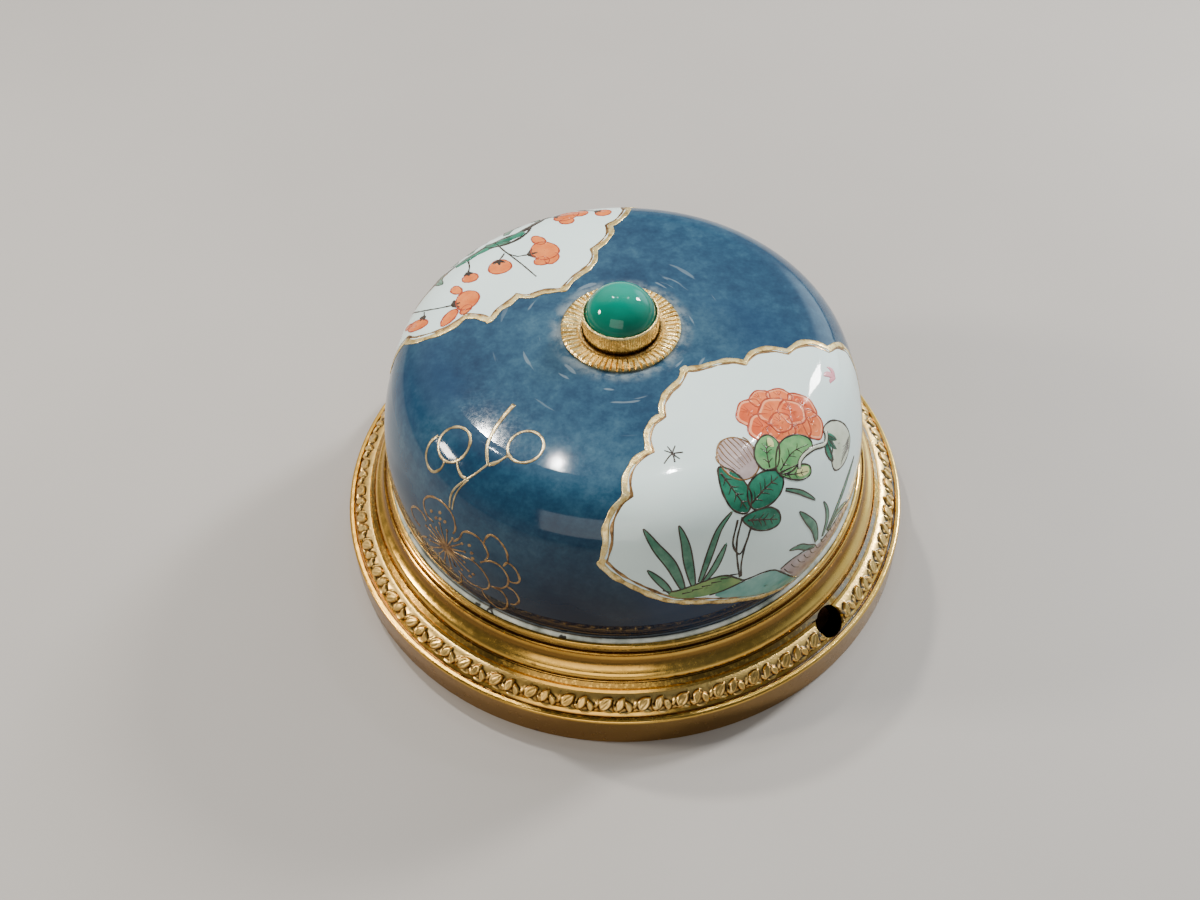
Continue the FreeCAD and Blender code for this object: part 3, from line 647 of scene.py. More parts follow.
def stone_material():
    """Polished chrysoprase: soft cloudy green with slight depth, and painted light that makes it lighter
    above and towards the back.
    """
    m = Nodes("green_stone")
    colour = m.ramp(m.noise(110, 3, 0.5), [(0.3, (0.0, 0.07, 0.04)), (0.55, (0.0, 0.15, 0.095)), (0.75,
        (0.0, 0.23, 0.155))])
    _, y, z = m.xyz()
    # painted light: lighter towards the top and the back
    light = m.spread(m.math("ADD", z, m.math("MULTIPLY", y, 0.5)), 0.0395, 0.0447, 0, 0.6)
    colour = m.mix(light, colour, (0.0, 0.36, 0.27))
    return m.finish(colour, m.spread(m.noise(1400, 3), 0.6, 0.75, 0.04, 0.1), 0.0, None, specular=0.34)


def cement_material():
    """Old plaster: greenish white, stained grey in patches, with small dark holes."""
    m = Nodes("pale_cement")
    fine = m.noise(1100, 5, 0.7)
    colour = m.ramp(m.noise(300, 4), [(0.32, (0.18, 0.21, 0.18)), (0.48, (0.45, 0.50, 0.44)), (0.64,
        (0.72, 0.76, 0.68))])
    specks = m.spread(m.noise(430, 2), 0.64, 0.68)
    colour = m.mix(specks, colour, (0.02, 0.02, 0.018))
    return m.finish(colour, m.spread(fine, 0.3, 0.7, 0.4, 0.75), 0.0, m.bump(fine, 0.6, 0.0002))


def metal_material(name, low, high, rough=(0.2, 0.4), turned=True):
    """Turned or rolled metal with faint tool lines."""
    m = Nodes(name)
    colour = m.ramp(m.noise(160, 4), [(0.3, low), (0.7, high)])
    stretch = (30, 30, 900) if turned else (60, 900, 60)
    lines = m.noise(3.0, 3, 0.6, stretch=stretch)
    return m.finish(colour, m.spread(lines, 0.3, 0.7, rough[0], rough[1]), 1.0, m.bump(lines, 0.15, 0.0001))


def rubber_material():
    m = Nodes("ebonite")
    fine = m.noise(1800, 4)
    colour = m.ramp(m.noise(90, 3), [(0.3, (0.016, 0.014, 0.012)), (0.7, (0.036, 0.029, 0.024))])
    return m.finish(colour, m.spread(fine, 0.3, 0.7, 0.3, 0.48), 0.0, m.bump(fine, 0.2, 0.0001))


def wood_material():
    """Turned hardwood: long grain along X with pores."""
    m = Nodes("board_wood")
    grain = m.noise(60, 6, 0.6, stretch=(0.35, 4.0, 4.0))
    pores = m.spread(m.noise(240, 3, 0.6, stretch=(0.12, 3.0, 3.0)), 0.6, 0.72)
    colour = m.ramp(grain, [(0.3, (0.10, 0.042, 0.018)), (0.5, (0.22, 0.10, 0.045)), (0.7, (0.33, 0.17,
        0.08))])
    colour = m.mix(m.math("MULTIPLY", pores, 0.6), colour, (0.035, 0.015, 0.008))
    return m.finish(colour, m.spread(grain, 0.3, 0.7, 0.5, 0.66), 0.0, m.bump(grain, 0.3, 0.0002))


def leather_material():
    m = Nodes("leather")
    pebble = m.cells(1500)
    colour = m.ramp(m.noise(200, 4), [(0.3, (0.16, 0.075, 0.035)), (0.7, (0.32, 0.17, 0.085))])
    return m.finish(colour, 0.62, 0.0, m.bump(pebble, 0.5, 0.0002))


def baize_material():
    """Felted wool: matted fibres, soft sheen."""
    m = Nodes("green_baize")
    fibres = m.noise(1600, 6, 0.75)
    colour = m.ramp(fibres, [(0.3, (0.012, 0.06, 0.028)), (0.7, (0.05, 0.17, 0.085))])
    return m.finish(colour, 0.95, 0.0, m.bump(fibres, 0.9, 0.0004), sheen=0.5)


GILT = gilt_ring_material()
RELIEF = leaf_relief_material()
FITTING = fitting_material("gilt_fitting", 0.42)
GLAZE = glaze_material()
WHITE = enamel("panel_white", (0.68, 0.83, 0.81), (0.74, 0.88, 0.85), 90, 0.06)
GILT_LINE = gilt_line_material("gilt_line", (0.32, 0.20, 0.06), (0.72, 0.53, 0.20), (0.90, 0.76, 0.42))
COPPER_LINE = gilt_line_material("copper_line", (0.10, 0.045, 0.015), (0.27, 0.15, 0.055),
    (0.44, 0.28, 0.12))
DULL_GILT = gilt_line_material("dull_gilt", (0.20, 0.14, 0.06), (0.40, 0.30, 0.14), (0.58, 0.47, 0.26))
CORAL = enamel("coral_enamel", (0.62, 0.115, 0.03), (0.84, 0.23, 0.08), 420)
CORAL_DEEP = enamel("coral_deep", (0.50, 0.065, 0.018), (0.74, 0.15, 0.05), 420)
PRUNUS = enamel("prunus_orange", (0.58, 0.11, 0.018), (0.82, 0.24, 0.06), 380)
CORAL_PALE = enamel("coral_pale", (0.82, 0.25, 0.11), (0.92, 0.40, 0.22), 420)
IRON_RED = enamel("iron_red_line", (0.26, 0.03, 0.01), (0.48, 0.08, 0.03), 900, 0.2)
INK = enamel("ink_line", (0.018, 0.014, 0.012), (0.07, 0.05, 0.035), 900, 0.22)
BROWN_INK = enamel("brown_line", (0.10, 0.045, 0.015), (0.25, 0.13, 0.045), 900, 0.22)
LEAF_DARK = enamel("leaf_dark", (0.006, 0.075, 0.045), (0.035, 0.23, 0.14), 420)
LEAF_LIGHT = enamel("leaf_light", (0.065, 0.25, 0.085), (0.22, 0.45, 0.17), 500)
LEAF_YELLOW = enamel("leaf_yellow", (0.52, 0.58, 0.22), (0.70, 0.72, 0.36), 500)
GRASS = enamel("grass_green", (0.04, 0.15, 0.095), (0.13, 0.29, 0.195), 600)
HILL_GREEN = enamel("hill_green", (0.06, 0.20, 0.07), (0.26, 0.38, 0.12), 300)
HILL_TURQUOISE = enamel("hill_turquoise", (0.07, 0.27, 0.23), (0.24, 0.47, 0.41), 260)
MAUVE = enamel("mauve_enamel", (0.32, 0.24, 0.23), (0.50, 0.41, 0.40), 420)
BUD_PALE = enamel("bud_pale", (0.50, 0.56, 0.42), (0.70, 0.74, 0.62), 420)
PINK = enamel("pink_enamel", (0.66, 0.20, 0.26), (0.80, 0.38, 0.42), 700)
STONE = stone_material()
CEMENT = cement_material()
BRASS = metal_material("brass_work", (0.60, 0.40, 0.14), (0.82, 0.61, 0.28))
STEEL = metal_material("steel_work", (0.38, 0.37, 0.36), (0.60, 0.59, 0.57), (0.18, 0.36))
SILVER = metal_material("silver_contact", (0.66, 0.65, 0.62), (0.88, 0.87, 0.84), (0.25, 0.45))
EBONITE = rubber_material()
WOOD = wood_material()
LEATHER = leather_material()
BAIZE = baize_material()

SLOT_MATERIALS = {
    "gilt_bronze": GILT, "gilt_fitting": FITTING, "porcelain": GLAZE, "cement": CEMENT,
    "green_stone": STONE, "brass_work": BRASS, "steel_work": STEEL, "silver_contact": SILVER,
    "ebonite": EBONITE, "board_wood": WOOD, "leather": LEATHER, "green_baize": BAIZE,
}


def dress_cad_nodes():
    """Give every carried-over node the procedural material of its slot."""
    for part in frame["record"]["subparts"]:
        piece = frame["nodes"][part["node"]]
        piece.data.materials.clear()
        piece.data.materials.append(SLOT_MATERIALS[part["material_slot"]])


# ------------------------------------------------------------------ leaf band
BAND_CENTRE = (36.50, 4.918)
BAND_RADIUS = 2.6
BAND_PAIRS = 48
BAND_COLUMNS = 52 * BAND_PAIRS
BAND_ROWS = 38


def leaf_height(x, y, centre, length, width, lean, curl=0.0, rise=0.5):
    """Height in mm of one leaf: raised edge, hollow blade, low midrib. Zero outside it."""
    c, s = math.cos(math.radians(lean)), math.sin(math.radians(lean))
    dx, dy = x - centre[0], y - centre[1]
    along = (c * dx + s * dy) / (length / 2)
    bow = curl * (1 - along**2)
    across = -s * dx + c * dy - bow
    half = width / 2 * np.clip(1 - along**2, 0, 1) ** 0.7 * (1 - 0.2 * along)
    inward = np.where(np.abs(along) < 1, half - np.abs(across), -1.0)
    step = np.clip(inward / 0.12, 0, 1)
    hollow = 0.26 * np.clip((inward - 0.22) / 0.16, 0, 1)
    rib = 0.25 * np.exp(-((across / 0.1) ** 2)) * (hollow > 0)
    return rise * step * (1 - hollow + rib)


def band_relief(x, y):
    """Relief over one pair of motifs: x along the band from 0 to 5 mm, y up it from 0 to 3.1 mm."""
    parts = [
        leaf_height(x, y, (1.25, 1.62), 2.15, 1.5, 42, 0.08),
        leaf_height(x, y, (1.2, 0.42), 2.0, 0.5, -14, 0.14, 0.34),
        leaf_height(x, y, (0.15, 1.55), 1.5, 0.5, 66, 0.08, 0.3),
        leaf_height(x, y, (3.2, 1.6), 1.95, 1.1, 64, 0.1),
        leaf_height(x, y, (4.1, 1.25), 1.6, 0.95, 112, -0.08, 0.44),
        leaf_height(x, y, (2.5, 0.95), 1.2, 0.6, 124, 0.05, 0.36),
        leaf_height(x, y, (3.7, 0.35), 1.7, 0.5, 8, -0.12, 0.34),
    ]
    return np.maximum.reduce(parts)


def blurred(field, passes):
    """Field averaged with its neighbours, wrapping round its columns."""
    for _ in range(passes):
        sideways = (field + np.roll(field, 1, 1) + np.roll(field, -1, 1)) / 3
        padded = np.vstack([sideways[:1], sideways, sideways[-1:]])
        field = (padded[:-2] + padded[1:-1] + padded[2:]) / 3
    return field


def add_bore_skirt(verts, faces, cavity_shade, at_bore):
    """Turns the edge of the hole inwards, so that the band shows its thickness there."""
    depth = 0.8
    ways = {(f[k], f[(k + 1) % 4]) for f in faces if any(at_bore[i] for i in f) for k in range(4)}
    rim = sorted((a, b) for a, b in ways if (b, a) not in ways and at_bore[a] and at_bore[b])
    first = len(verts)
    twin = {i: first + k for k, i in enumerate(sorted({i for edge in rim for i in edge}))}
    lowered = np.array([verts[i] - depth * INLET_AXIS for i in twin])
    faces = faces + [(b, a, twin[a], twin[b]) for a, b in rim]
    # the turned-in skirt is fully darkened with painted shade
    return np.vstack([verts, lowered]), faces, np.r_[cavity_shade, np.ones(len(lowered))]


def make_leaf_band():
    start = math.atan2(5.17 - BAND_CENTRE[1], 39.09 - BAND_CENTRE[0])
    stop = math.atan2(7.52 - BAND_CENTRE[1], 36.80 - BAND_CENTRE[0])
    length = (stop - start) * BAND_RADIUS
    rows = np.linspace(0, 1, BAND_ROWS)
    columns = np.arange(BAND_COLUMNS) / BAND_COLUMNS
    pitch = 5.0
    x = (columns * BAND_PAIRS % 1.0)[None, :] * pitch
    y = (rows * length)[:, None] * 3.1 / length
    relief = np.zeros((BAND_ROWS, BAND_COLUMNS))
    for shift in (-pitch, 0.0, pitch):
        relief = np.maximum(relief, band_relief(x + shift, y))
    pair = np.floor(columns * BAND_PAIRS).astype(int)
    strength = 1 + 0.1 * rng.standard_normal(BAND_PAIRS)[pair]
    stipple = 0.008 * rng.standard_normal(relief.shape) * (y > 2.45)
    # painted shade: darker where the relief lies below its blurred surroundings, in hollows and beside the
    # leaves
    cavity_shade = np.clip((blurred(relief, 7) - relief) / 0.11, 0, 1)
    fade = np.clip(np.minimum(rows, 1 - rows) / 0.05, 0, 1)[:, None]
    height = -0.46 + fade * (blurred(relief, 1) * strength[None, :] + stipple)
    turn = (start + (stop - start) * rows)[:, None]
    r = BAND_CENTRE[0] + (BAND_RADIUS + height) * np.cos(turn)
    z = BAND_CENTRE[1] + (BAND_RADIUS + height) * np.sin(turn)
    azimuth = columns * 2 * np.pi - math.pi / 2
    verts = np.stack([r * np.cos(azimuth), r * np.sin(azimuth), z], -1).reshape(-1, 3)
    away = verts - INLET_POINT
    depth = away @ INLET_AXIS
    sideways = away - depth[:, None] * INLET_AXIS
    distance = np.linalg.norm(sideways, axis=1)
    mouth = INLET_RADIUS + 0.2
    inside = (distance < mouth) & (depth > -3)
    faces = [f for f in grid_faces(BAND_ROWS, BAND_COLUMNS,
        wrap_columns=True) if not all(inside[i] for i in f)]
    used = sorted({i for f in faces for i in f})
    for i in used:
        if inside[i]:
            verts[i] += sideways[i] * (mouth / max(distance[i], 1e-6) - 1)
    renumber = {old: new for new, old in enumerate(used)}
    faces = [tuple(renumber[i] for i in f) for f in faces]
    verts = verts[used]
    cavity_shade = cavity_shade.reshape(-1)[used]
    verts, faces, cavity_shade = add_bore_skirt(verts, faces, cavity_shade, inside[used])
    piece = make_piece("leaf_band_relief", verts, [f[::-1] for f in faces], RELIEF, HOUSING)
    # the painted shade is stored on the mesh as a per-point attribute
    attribute = piece.data.attributes.new("cavity_shade", "FLOAT", "POINT")
    attribute.data.foreach_set("value", cavity_shade.astype(np.float32))
    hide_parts("leaf_band")
    return piece


# ------------------------------------------------------------------ crown fittings
def make_bezel():
    """Rubbed-over cup with fine upright grooves round its wall."""
    low, high = box_mm("bezel_cup")
    bottom, top, reach = low[2], high[2], high[0]
    bore = 1.52
    seat = 37.15
    inner = 4.63
    profile = [(bore, seat), (bore, bottom), (reach - 0.25, bottom), (reach - 0.06, bottom + 0.2)]
    profile += [(reach - 0.05, z) for z in np.linspace(bottom + 0.35, top - 0.42, 12)]
    profile += [(reach - 0.01, top - 0.32), (reach, top - 0.2), (reach - 0.04, top - 0.08),
        (reach - 0.12, top - 0.01),
                (reach - 0.2, top), (inner + 0.08, top - 0.03), (inner + 0.01, top - 0.12), (inner,
                    top - 0.5), (inner, seat)]

    def ripple(r, z, angle):
        on_wall = (r > reach - 0.1) & (z > bottom + 0.3) & (z < top - 0.4)
        groove = 0.5 + 0.5 * np.cos(angle * 96)
        uneven = 0.75 + 0.25 * np.sin(angle * 7 + 1.0) * np.sin(angle * 19)
        return r - np.where(on_wall, 0.075 * groove * uneven, 0.0), z

    verts, faces = lathe(profile, 768, ripple)
    piece = make_piece("bezel_fluted", verts, faces, FITTING, BUTTON)
    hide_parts("bezel_cup")
    return piece


SPRING_TURNS = 5.0
SPRING_WIRE = 0.28
SPRING_SIDES = 14
SPRING_STEPS_PER_TURN = 72


def make_spring():
    """Coil under the bezel cup, with closed wire ends."""
    low, high = box_mm("return_spring")
    coil = high[0] - SPRING_WIRE
    length = high[2] - low[2]
    sides = SPRING_SIDES
    steps = int(SPRING_TURNS * SPRING_STEPS_PER_TURN)
    rise = length - 2 * SPRING_WIRE
    verts = []
    for k in range(steps + 1):
        turn = 2 * math.pi * SPRING_TURNS * k / steps
        height = low[2] + SPRING_WIRE + rise * k / steps
        for j in range(sides):
            across = 2 * math.pi * j / sides
            r = coil + SPRING_WIRE * math.cos(across)
            verts.append((r * math.cos(turn), r * math.sin(turn), height + SPRING_WIRE * math.sin(across)))
    faces = [f[::-1] for f in grid_faces(steps + 1, sides, wrap_columns=True)]
    faces.append(tuple(range(sides)))
    faces.append(tuple(range(steps * sides, (steps + 1) * sides))[::-1])
    piece = make_piece("coil_spring", verts, faces, SLOT_MATERIALS["steel_work"], HOUSING)
    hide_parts("return_spring")
    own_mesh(piece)
    return piece


def make_cement():
    """Uneven bead of plaster squeezed up between the ring and the porcelain."""
    low, high = box_mm("rim_cement")
    outer, base, top = high[0], low[2], high[2]
    inner = 32.46
    profile = [(inner, base), (outer, base), (outer, 12.9), (outer - 0.06, 13.15),
        (outer - 0.2, top - 0.12),
               (outer - 0.32, top - 0.02), (outer - 0.42, top - 0.06), (inner, 13.3)]

    def ripple(r, z, angle):
        wave = np.zeros_like(angle)
        for k in (3, 7, 16, 31, 57, 92, 141):
            wave = wave + np.sin(angle * k + k * 1.7) / (1 + k**0.55)
        upper = np.clip((z - 12.8) / 0.5, 0, 1)
        return r + 0.05 * wave * upper * (r < outer - 0.01), z + 0.16 * wave * upper

    verts, faces = lathe(profile, 900, ripple)
    piece = make_piece("rim_cement_bead", verts, faces, CEMENT, HOUSING)
    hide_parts("rim_cement")
    return piece


# ------------------------------------------------------------------ painted panels
def scalloped(lobes, spacing=0.5):
    """Outline made of smooth spans that meet at cusps."""
    spans = [smooth_curve(points, False, spacing)[:-1] for points in lobes]
    return np.vstack(spans)


def front_panel_outline():
    """Foliate reserve: a pointed top, three lobes a side, side points and a full curve to the foot."""
    return scalloped([
        [(1.2, 15.0), (-0.8, 14.1), (-3.2, 13.7), (-5.0, 12.8), (-6.0, 11.5)],
        [(-6.0, 11.5), (-7.7, 11.4), (-9.3, 10.4), (-10.3, 8.6)],
        [(-10.3, 8.6), (-12.2, 8.6), (-14.2, 7.5), (-15.2, 5.7)],
        [(-15.2, 5.7), (-16.9, 5.3), (-18.6, 4.0), (-19.5, 2.4), (-21.2, 0.5)],
        [(-21.2, 0.5), (-20.6, -1.8), (-18.9, -5.0), (-16.6, -8.2), (-13.0, -10.9), (-9.2, -13.5),
         (-4.6, -16.3), (1.2, -18.4), (7.0, -16.6), (11.6, -14.3), (15.4, -11.7), (19.0, -8.6), (21.3,
             -5.4),
         (23.0, -2.0), (23.6, 0.5)],
        [(23.6, 0.5), (21.9, 2.4), (21.0, 4.0), (19.3, 5.3), (17.3, 5.6)],
        [(17.3, 5.6), (16.4, 7.3), (15.0, 8.4), (13.1, 8.6)],
        [(13.1, 8.6), (12.0, 10.2), (10.0, 11.2), (7.9, 10.9)],
        [(7.9, 10.9), (6.9, 12.2), (5.1, 13.2), (3.0, 14.0), (1.2, 15.0)],
    ])


def back_panel_outline():
    return scalloped([
        [(0.6, 11.1), (-2.0, 10.3), (-5.0, 9.9), (-6.9, 8.9), (-7.9, 7.4)],
        [(-7.9, 7.4), (-10.0, 6.9), (-11.7, 5.9), (-12.5, 4.5)],
        [(-12.5, 4.5), (-14.4, 4.2), (-16.2, 2.9), (-17.1, 1.0)],
        [(-17.1, 1.0), (-18.9, 0.6), (-20.4, -1.0), (-22.0, -4.2)],
        [(-22.0, -4.2), (-21.4, -7.0), (-19.6, -10.2), (-16.4, -13.6), (-12.4, -16.6), (-7.4, -19.2),
         (-1.0, -20.9), (5.4, -19.9), (11.0, -17.4), (15.4, -14.2), (18.4, -10.6), (20.0, -7.0), (20.4,
             -4.2)],
        [(20.4, -4.2), (19.3, -2.2), (17.5, -0.2)],
        [(17.5, -0.2), (17.4, 2.0), (16.1, 4.0), (14.2, 4.9), (12.0, 5.0)],
        [(12.0, 5.0), (11.2, 6.4), (10.9, 8.0)],
        [(10.9, 8.0), (9.0, 7.5), (7.2, 7.6), (5.5, 7.4)],
        [(5.5, 7.4), (4.6, 8.7), (2.6, 9.5), (0.6, 11.1)],
    ])


def paint_panel(name, chart, outline, centre, blobs):
    """White reserve with its gilt border."""
    white = Paint(chart)
    white.patch(outline, PANEL_LIFT, centre, spacing=1.1, closed_curve=False, crown=0.004)
    white.piece(name + "_white", WHITE)
    border = Paint(chart)
    border.line(outline, 0.66, FILL_LIFT, closed=True, wobble=0.3, raw=True)
    shadow = Paint(chart)
    inner = np.array(centre) + (outline - np.array(centre)) * 0.966
    shadow.line(inner, 0.3, FILL_LIFT - 0.006, closed=True, wobble=0.5, raw=True)
    shadow.piece(name + "_inner_line", COPPER_LINE)
    for x, y, size in blobs:
        border.ellipse((x, y), size, size * 0.75, 20, DETAIL_LIFT, scallops=3, depth=0.12)
    border.piece(name + "_gilt_border", GILT_LINE)


def peony(chart):
    """Many-petalled coral flower with paler edges and red outlines."""
    pale, coral, deep, lines = Paint(chart), Paint(chart), Paint(chart), Paint(chart)
    petals = [
        ((2.5, 5.8), 1.95, 1.35, 20), ((4.9, 6.35), 1.35, 0.95, 0), ((6.7, 5.2), 1.35, 1.1, -35),
        ((7.9, 3.0), 1.15, 1.75, 10), ((7.2, 0.8), 1.35, 1.7, -15), ((5.4, 1.3), 1.6, 1.3, 20),
        ((2.2, 3.6), 1.9, 1.6, 15), ((3.4, 2.2), 1.6, 1.2, -20), ((4.7, 4.3), 2.0, 1.5, 10),
        ((6.2, 3.1), 1.5, 1.5, 0), ((4.2, 3.0), 1.3, 1.1, 0),
    ]
    for i, (centre, across, along, lean) in enumerate(petals):
        step = 0.0045 * i
        rim = pale.ellipse(centre, across, along, lean, FILL_LIFT - 0.01 + step, scallops=5, depth=0.045)
        (coral if i % 3 else deep).ellipse(
            centre, across * 0.8, along * 0.8, lean, FILL_LIFT - 0.004 + step, scallops=5, depth=0.05)
        lines.line(rim, 0.19, FILL_LIFT + step + 0.004, closed=True, raw=True, wobble=0.3)
        for k in range(3):
            a = math.radians(lean + 60 + 30 * k)
            start = np.array(centre) + 0.2 * np.array([math.cos(a), math.sin(a)])
            stop = np.array(centre) + min(across, along) * 0.75 * np.array([math.cos(a), math.sin(a)])
            lines.line([start, (start + stop) / 2, stop], 0.13, FILL_LIFT + step + 0.006, taper=(1.0, 0.4))
    pale.piece("peony_petal_edges", CORAL_PALE)
    coral.piece("peony_petals", CORAL)
    deep.piece("peony_petal_hearts", CORAL_DEEP)
    lines.piece("peony_outlines", IRON_RED)


def outlined(fill, ink, outline, lift, width=0.2, centre=None):
    """Filled shape with an ink outline."""
    fill.patch(outline, lift, centre)
    ink.line(outline, width, lift + 0.018, closed=True, wobble=0.3)


def outlined_blade(fill, ink, points, width, lift=FILL_LIFT, rib=False, pen=0.2, full=0.45):
    left, right = fill.blade(points, width, lift, full)
    ink.line(left[::2], pen, lift + 0.014, taper=(0.9, 0.7))
    ink.line(right[::2], pen, lift + 0.014, taper=(0.9, 0.7))
    if rib:
        ink.line(points, pen * 0.7, lift + 0.02, taper=(0.8, 0.4))


def veins(ink, points, count, reach, lift, pen=0.13):
    """Short side veins that branch forward from a leaf's midrib."""
    path = smooth_curve(points, False, 0.3)
    for k in range(count):
        share = (k + 1) / (count + 1.3)
        i = int(share * (len(path) - 1))
        ahead = path[min(i + 2, len(path) - 1)] - path[max(i - 2, 0)]
        ahead = ahead / np.linalg.norm(ahead)
        side = np.array([-ahead[1], ahead[0]])
        size = reach * math.sin(math.pi * (0.2 + 0.7 * share))
        for hand in (-1, 1):
            tip = path[i] + size * (0.62 * ahead + hand * 0.78 * side)
            ink.line([path[i], (path[i] + tip) / 2 + 0.06 * ahead, tip], pen, lift, taper=(1.1, 0.4))


def front_flowers(chart):
    """Peony spray, grasses, hills and rock on the front panel."""
    peony(chart)
    ink, brown = Paint(chart), Paint(chart)
    dark, light, yellow = Paint(chart), Paint(chart), Paint(chart)
    grass, mauve, pale = Paint(chart), Paint(chart), Paint(chart)

    # striped mauve bud
    bud = mauve.ellipse((-2.7, 2.7), 2.2, 2.35, -10, FILL_LIFT)
    brown.line(bud, 0.18, FILL_LIFT + 0.015, closed=True, raw=True, wobble=0.3)
    for k in range(-4, 5):
        bow = k * 0.5
        brown.line([(-2.6 + bow, 4.9 - 0.05 * k * k), (-2.65 + bow * 1.1, 3.4), (-2.6 + bow * 0.8, 1.7)],
                   0.16, FILL_LIFT + 0.022, taper=(1.1, 0.3))

    # dark leaves under the bud
    outlined(dark, ink, [(-5.3, 3.0), (-4.3, 2.2), (-3.8, 0.6), (-3.9, -1.2), (-5.1, -2.5), (-6.4, -1.3),
                         (-6.4, 1.0)], FILL_LIFT)
    outlined(dark, ink, [(-4.4, -1.2), (-3.4, 0.0), (-1.6, 0.2), (0.0, -0.6), (0.2, -1.9), (-1.0, -3.0),
                         (-2.8, -3.2), (-4.3, -2.6)], FILL_LIFT + 0.006)
    outlined(dark, ink, [(-5.9, -2.9), (-4.4, -2.8), (-2.5, -3.5), (-1.6, -4.8), (-1.9, -6.0), (-3.4, -5.9),
                         (-5.0, -4.8)], FILL_LIFT + 0.003)
    for vein, reach in (([(-5.4, 2.5), (-5.3, 0.2), (-5.0, -2.1)], 0.9),
        ([(-4.2, -1.9), (-2.2, -1.4), (-0.2, -1.2)], 1.1),
                        ([(-5.4, -3.3), (-3.7, -4.3), (-2.0, -5.4)], 0.9)):
        ink.line(vein, 0.2, DETAIL_LIFT + 0.014, taper=(1.1, 0.5))
        veins(ink, vein, 4, reach, DETAIL_LIFT + 0.014, 0.15)

    # light leaves under the flower
    outlined(light, ink, [(-1.2, 0.3), (-1.3, 1.6), (-0.4, 2.6), (1.0, 3.0), (1.9, 2.7), (2.1, 1.6), (1.3,
        0.5), (0.2, -0.3)],
             FILL_LIFT + 0.05, 0.18)
    outlined(light, ink, [(0.0, -0.7), (1.2, 0.9), (2.8, 1.5), (4.5, 1.1), (5.6, 0.0), (5.4, -1.0), (3.4,
        -1.4),
                          (1.3, -1.6)], FILL_LIFT + 0.056, 0.18)
    outlined(light, ink, [(0.1, -1.1), (1.1, -2.3), (2.5, -3.2), (3.8, -3.3), (4.0, -2.4), (2.9, -1.6),
        (1.3, -1.2)],
             FILL_LIFT + 0.05, 0.18)
    yellow.patch([(2.3, -1.9), (3.1, -2.0), (3.8, -2.4), (3.6, -3.0), (2.6, -2.9), (2.0, -2.4)],
        FILL_LIFT + 0.064)
    yellow.patch([(0.9, 1.9), (1.5, 2.6), (1.8, 2.2), (1.4, 1.5)], FILL_LIFT + 0.064)
    for vein, reach in (([(-0.5, 0.1), (0.2, 1.4), (1.3, 2.5)], 0.8),
        ([(0.4, -0.8), (2.8, -0.1), (5.1, -0.5)], 0.9),
                        ([(0.6, -1.5), (2.0, -2.2), (3.5, -2.8)], 0.6)):
        ink.line(vein, 0.17, FILL_LIFT + 0.078, taper=(1.0, 0.4))
        veins(ink, vein, 3, reach, FILL_LIFT + 0.078)

    # stalk and pale bud on the right
    stalk = [(2.6, -2.0), (3.0, -1.4), (4.0, -1.1), (5.6, -1.2), (7.2, -1.7), (7.9, -1.4), (8.3, -0.7)]
    ink.line(stalk, 0.62, FILL_LIFT + 0.07, wobble=0.1)
    pale.line(stalk, 0.32, FILL_LIFT + 0.088)
    outline = [(8.0, -0.5), (9.6, -0.2), (11.4, -1.2), (12.7, -2.8), (12.9, -4.2), (11.6, -5.6),
        (9.6, -6.0),
               (8.1, -5.4), (7.8, -4.0), (8.6, -2.4)]
    pale.patch(outline, FILL_LIFT)
    ink.line(outline, 0.2, FILL_LIFT + 0.018, closed=True, wobble=0.3)
    for k in range(6):
        lean = -0.75 * k
        ink.line([(12.6 + lean * 0.12, -3.7 - 0.22 * k), (11.4 + lean * 0.3, -4.0 - 0.25 * k),
                  (10.6 + lean * 0.25, -3.9 - 0.35 * k)], 0.17, FILL_LIFT + 0.022, taper=(1.1, 0.3))
    for sepal in ([(8.1, -1.0), (9.0, -1.9), (9.6, -2.5)], [(8.0, -1.2), (8.6, -2.6), (9.2, -3.4)],
                  [(7.9, -1.2), (7.8, -2.8), (8.2, -4.2)]):
        dark.blade(sepal, 0.7, DETAIL_LIFT, 0.4)
        ink.line(sepal, 0.16, DETAIL_LIFT + 0.018, taper=(1.0, 0.5))
    outlined(dark, ink, [(7.6, -1.6), (7.9, -2.6), (8.0, -4.2), (7.3, -3.4), (7.1, -2.4)], DETAIL_LIFT)

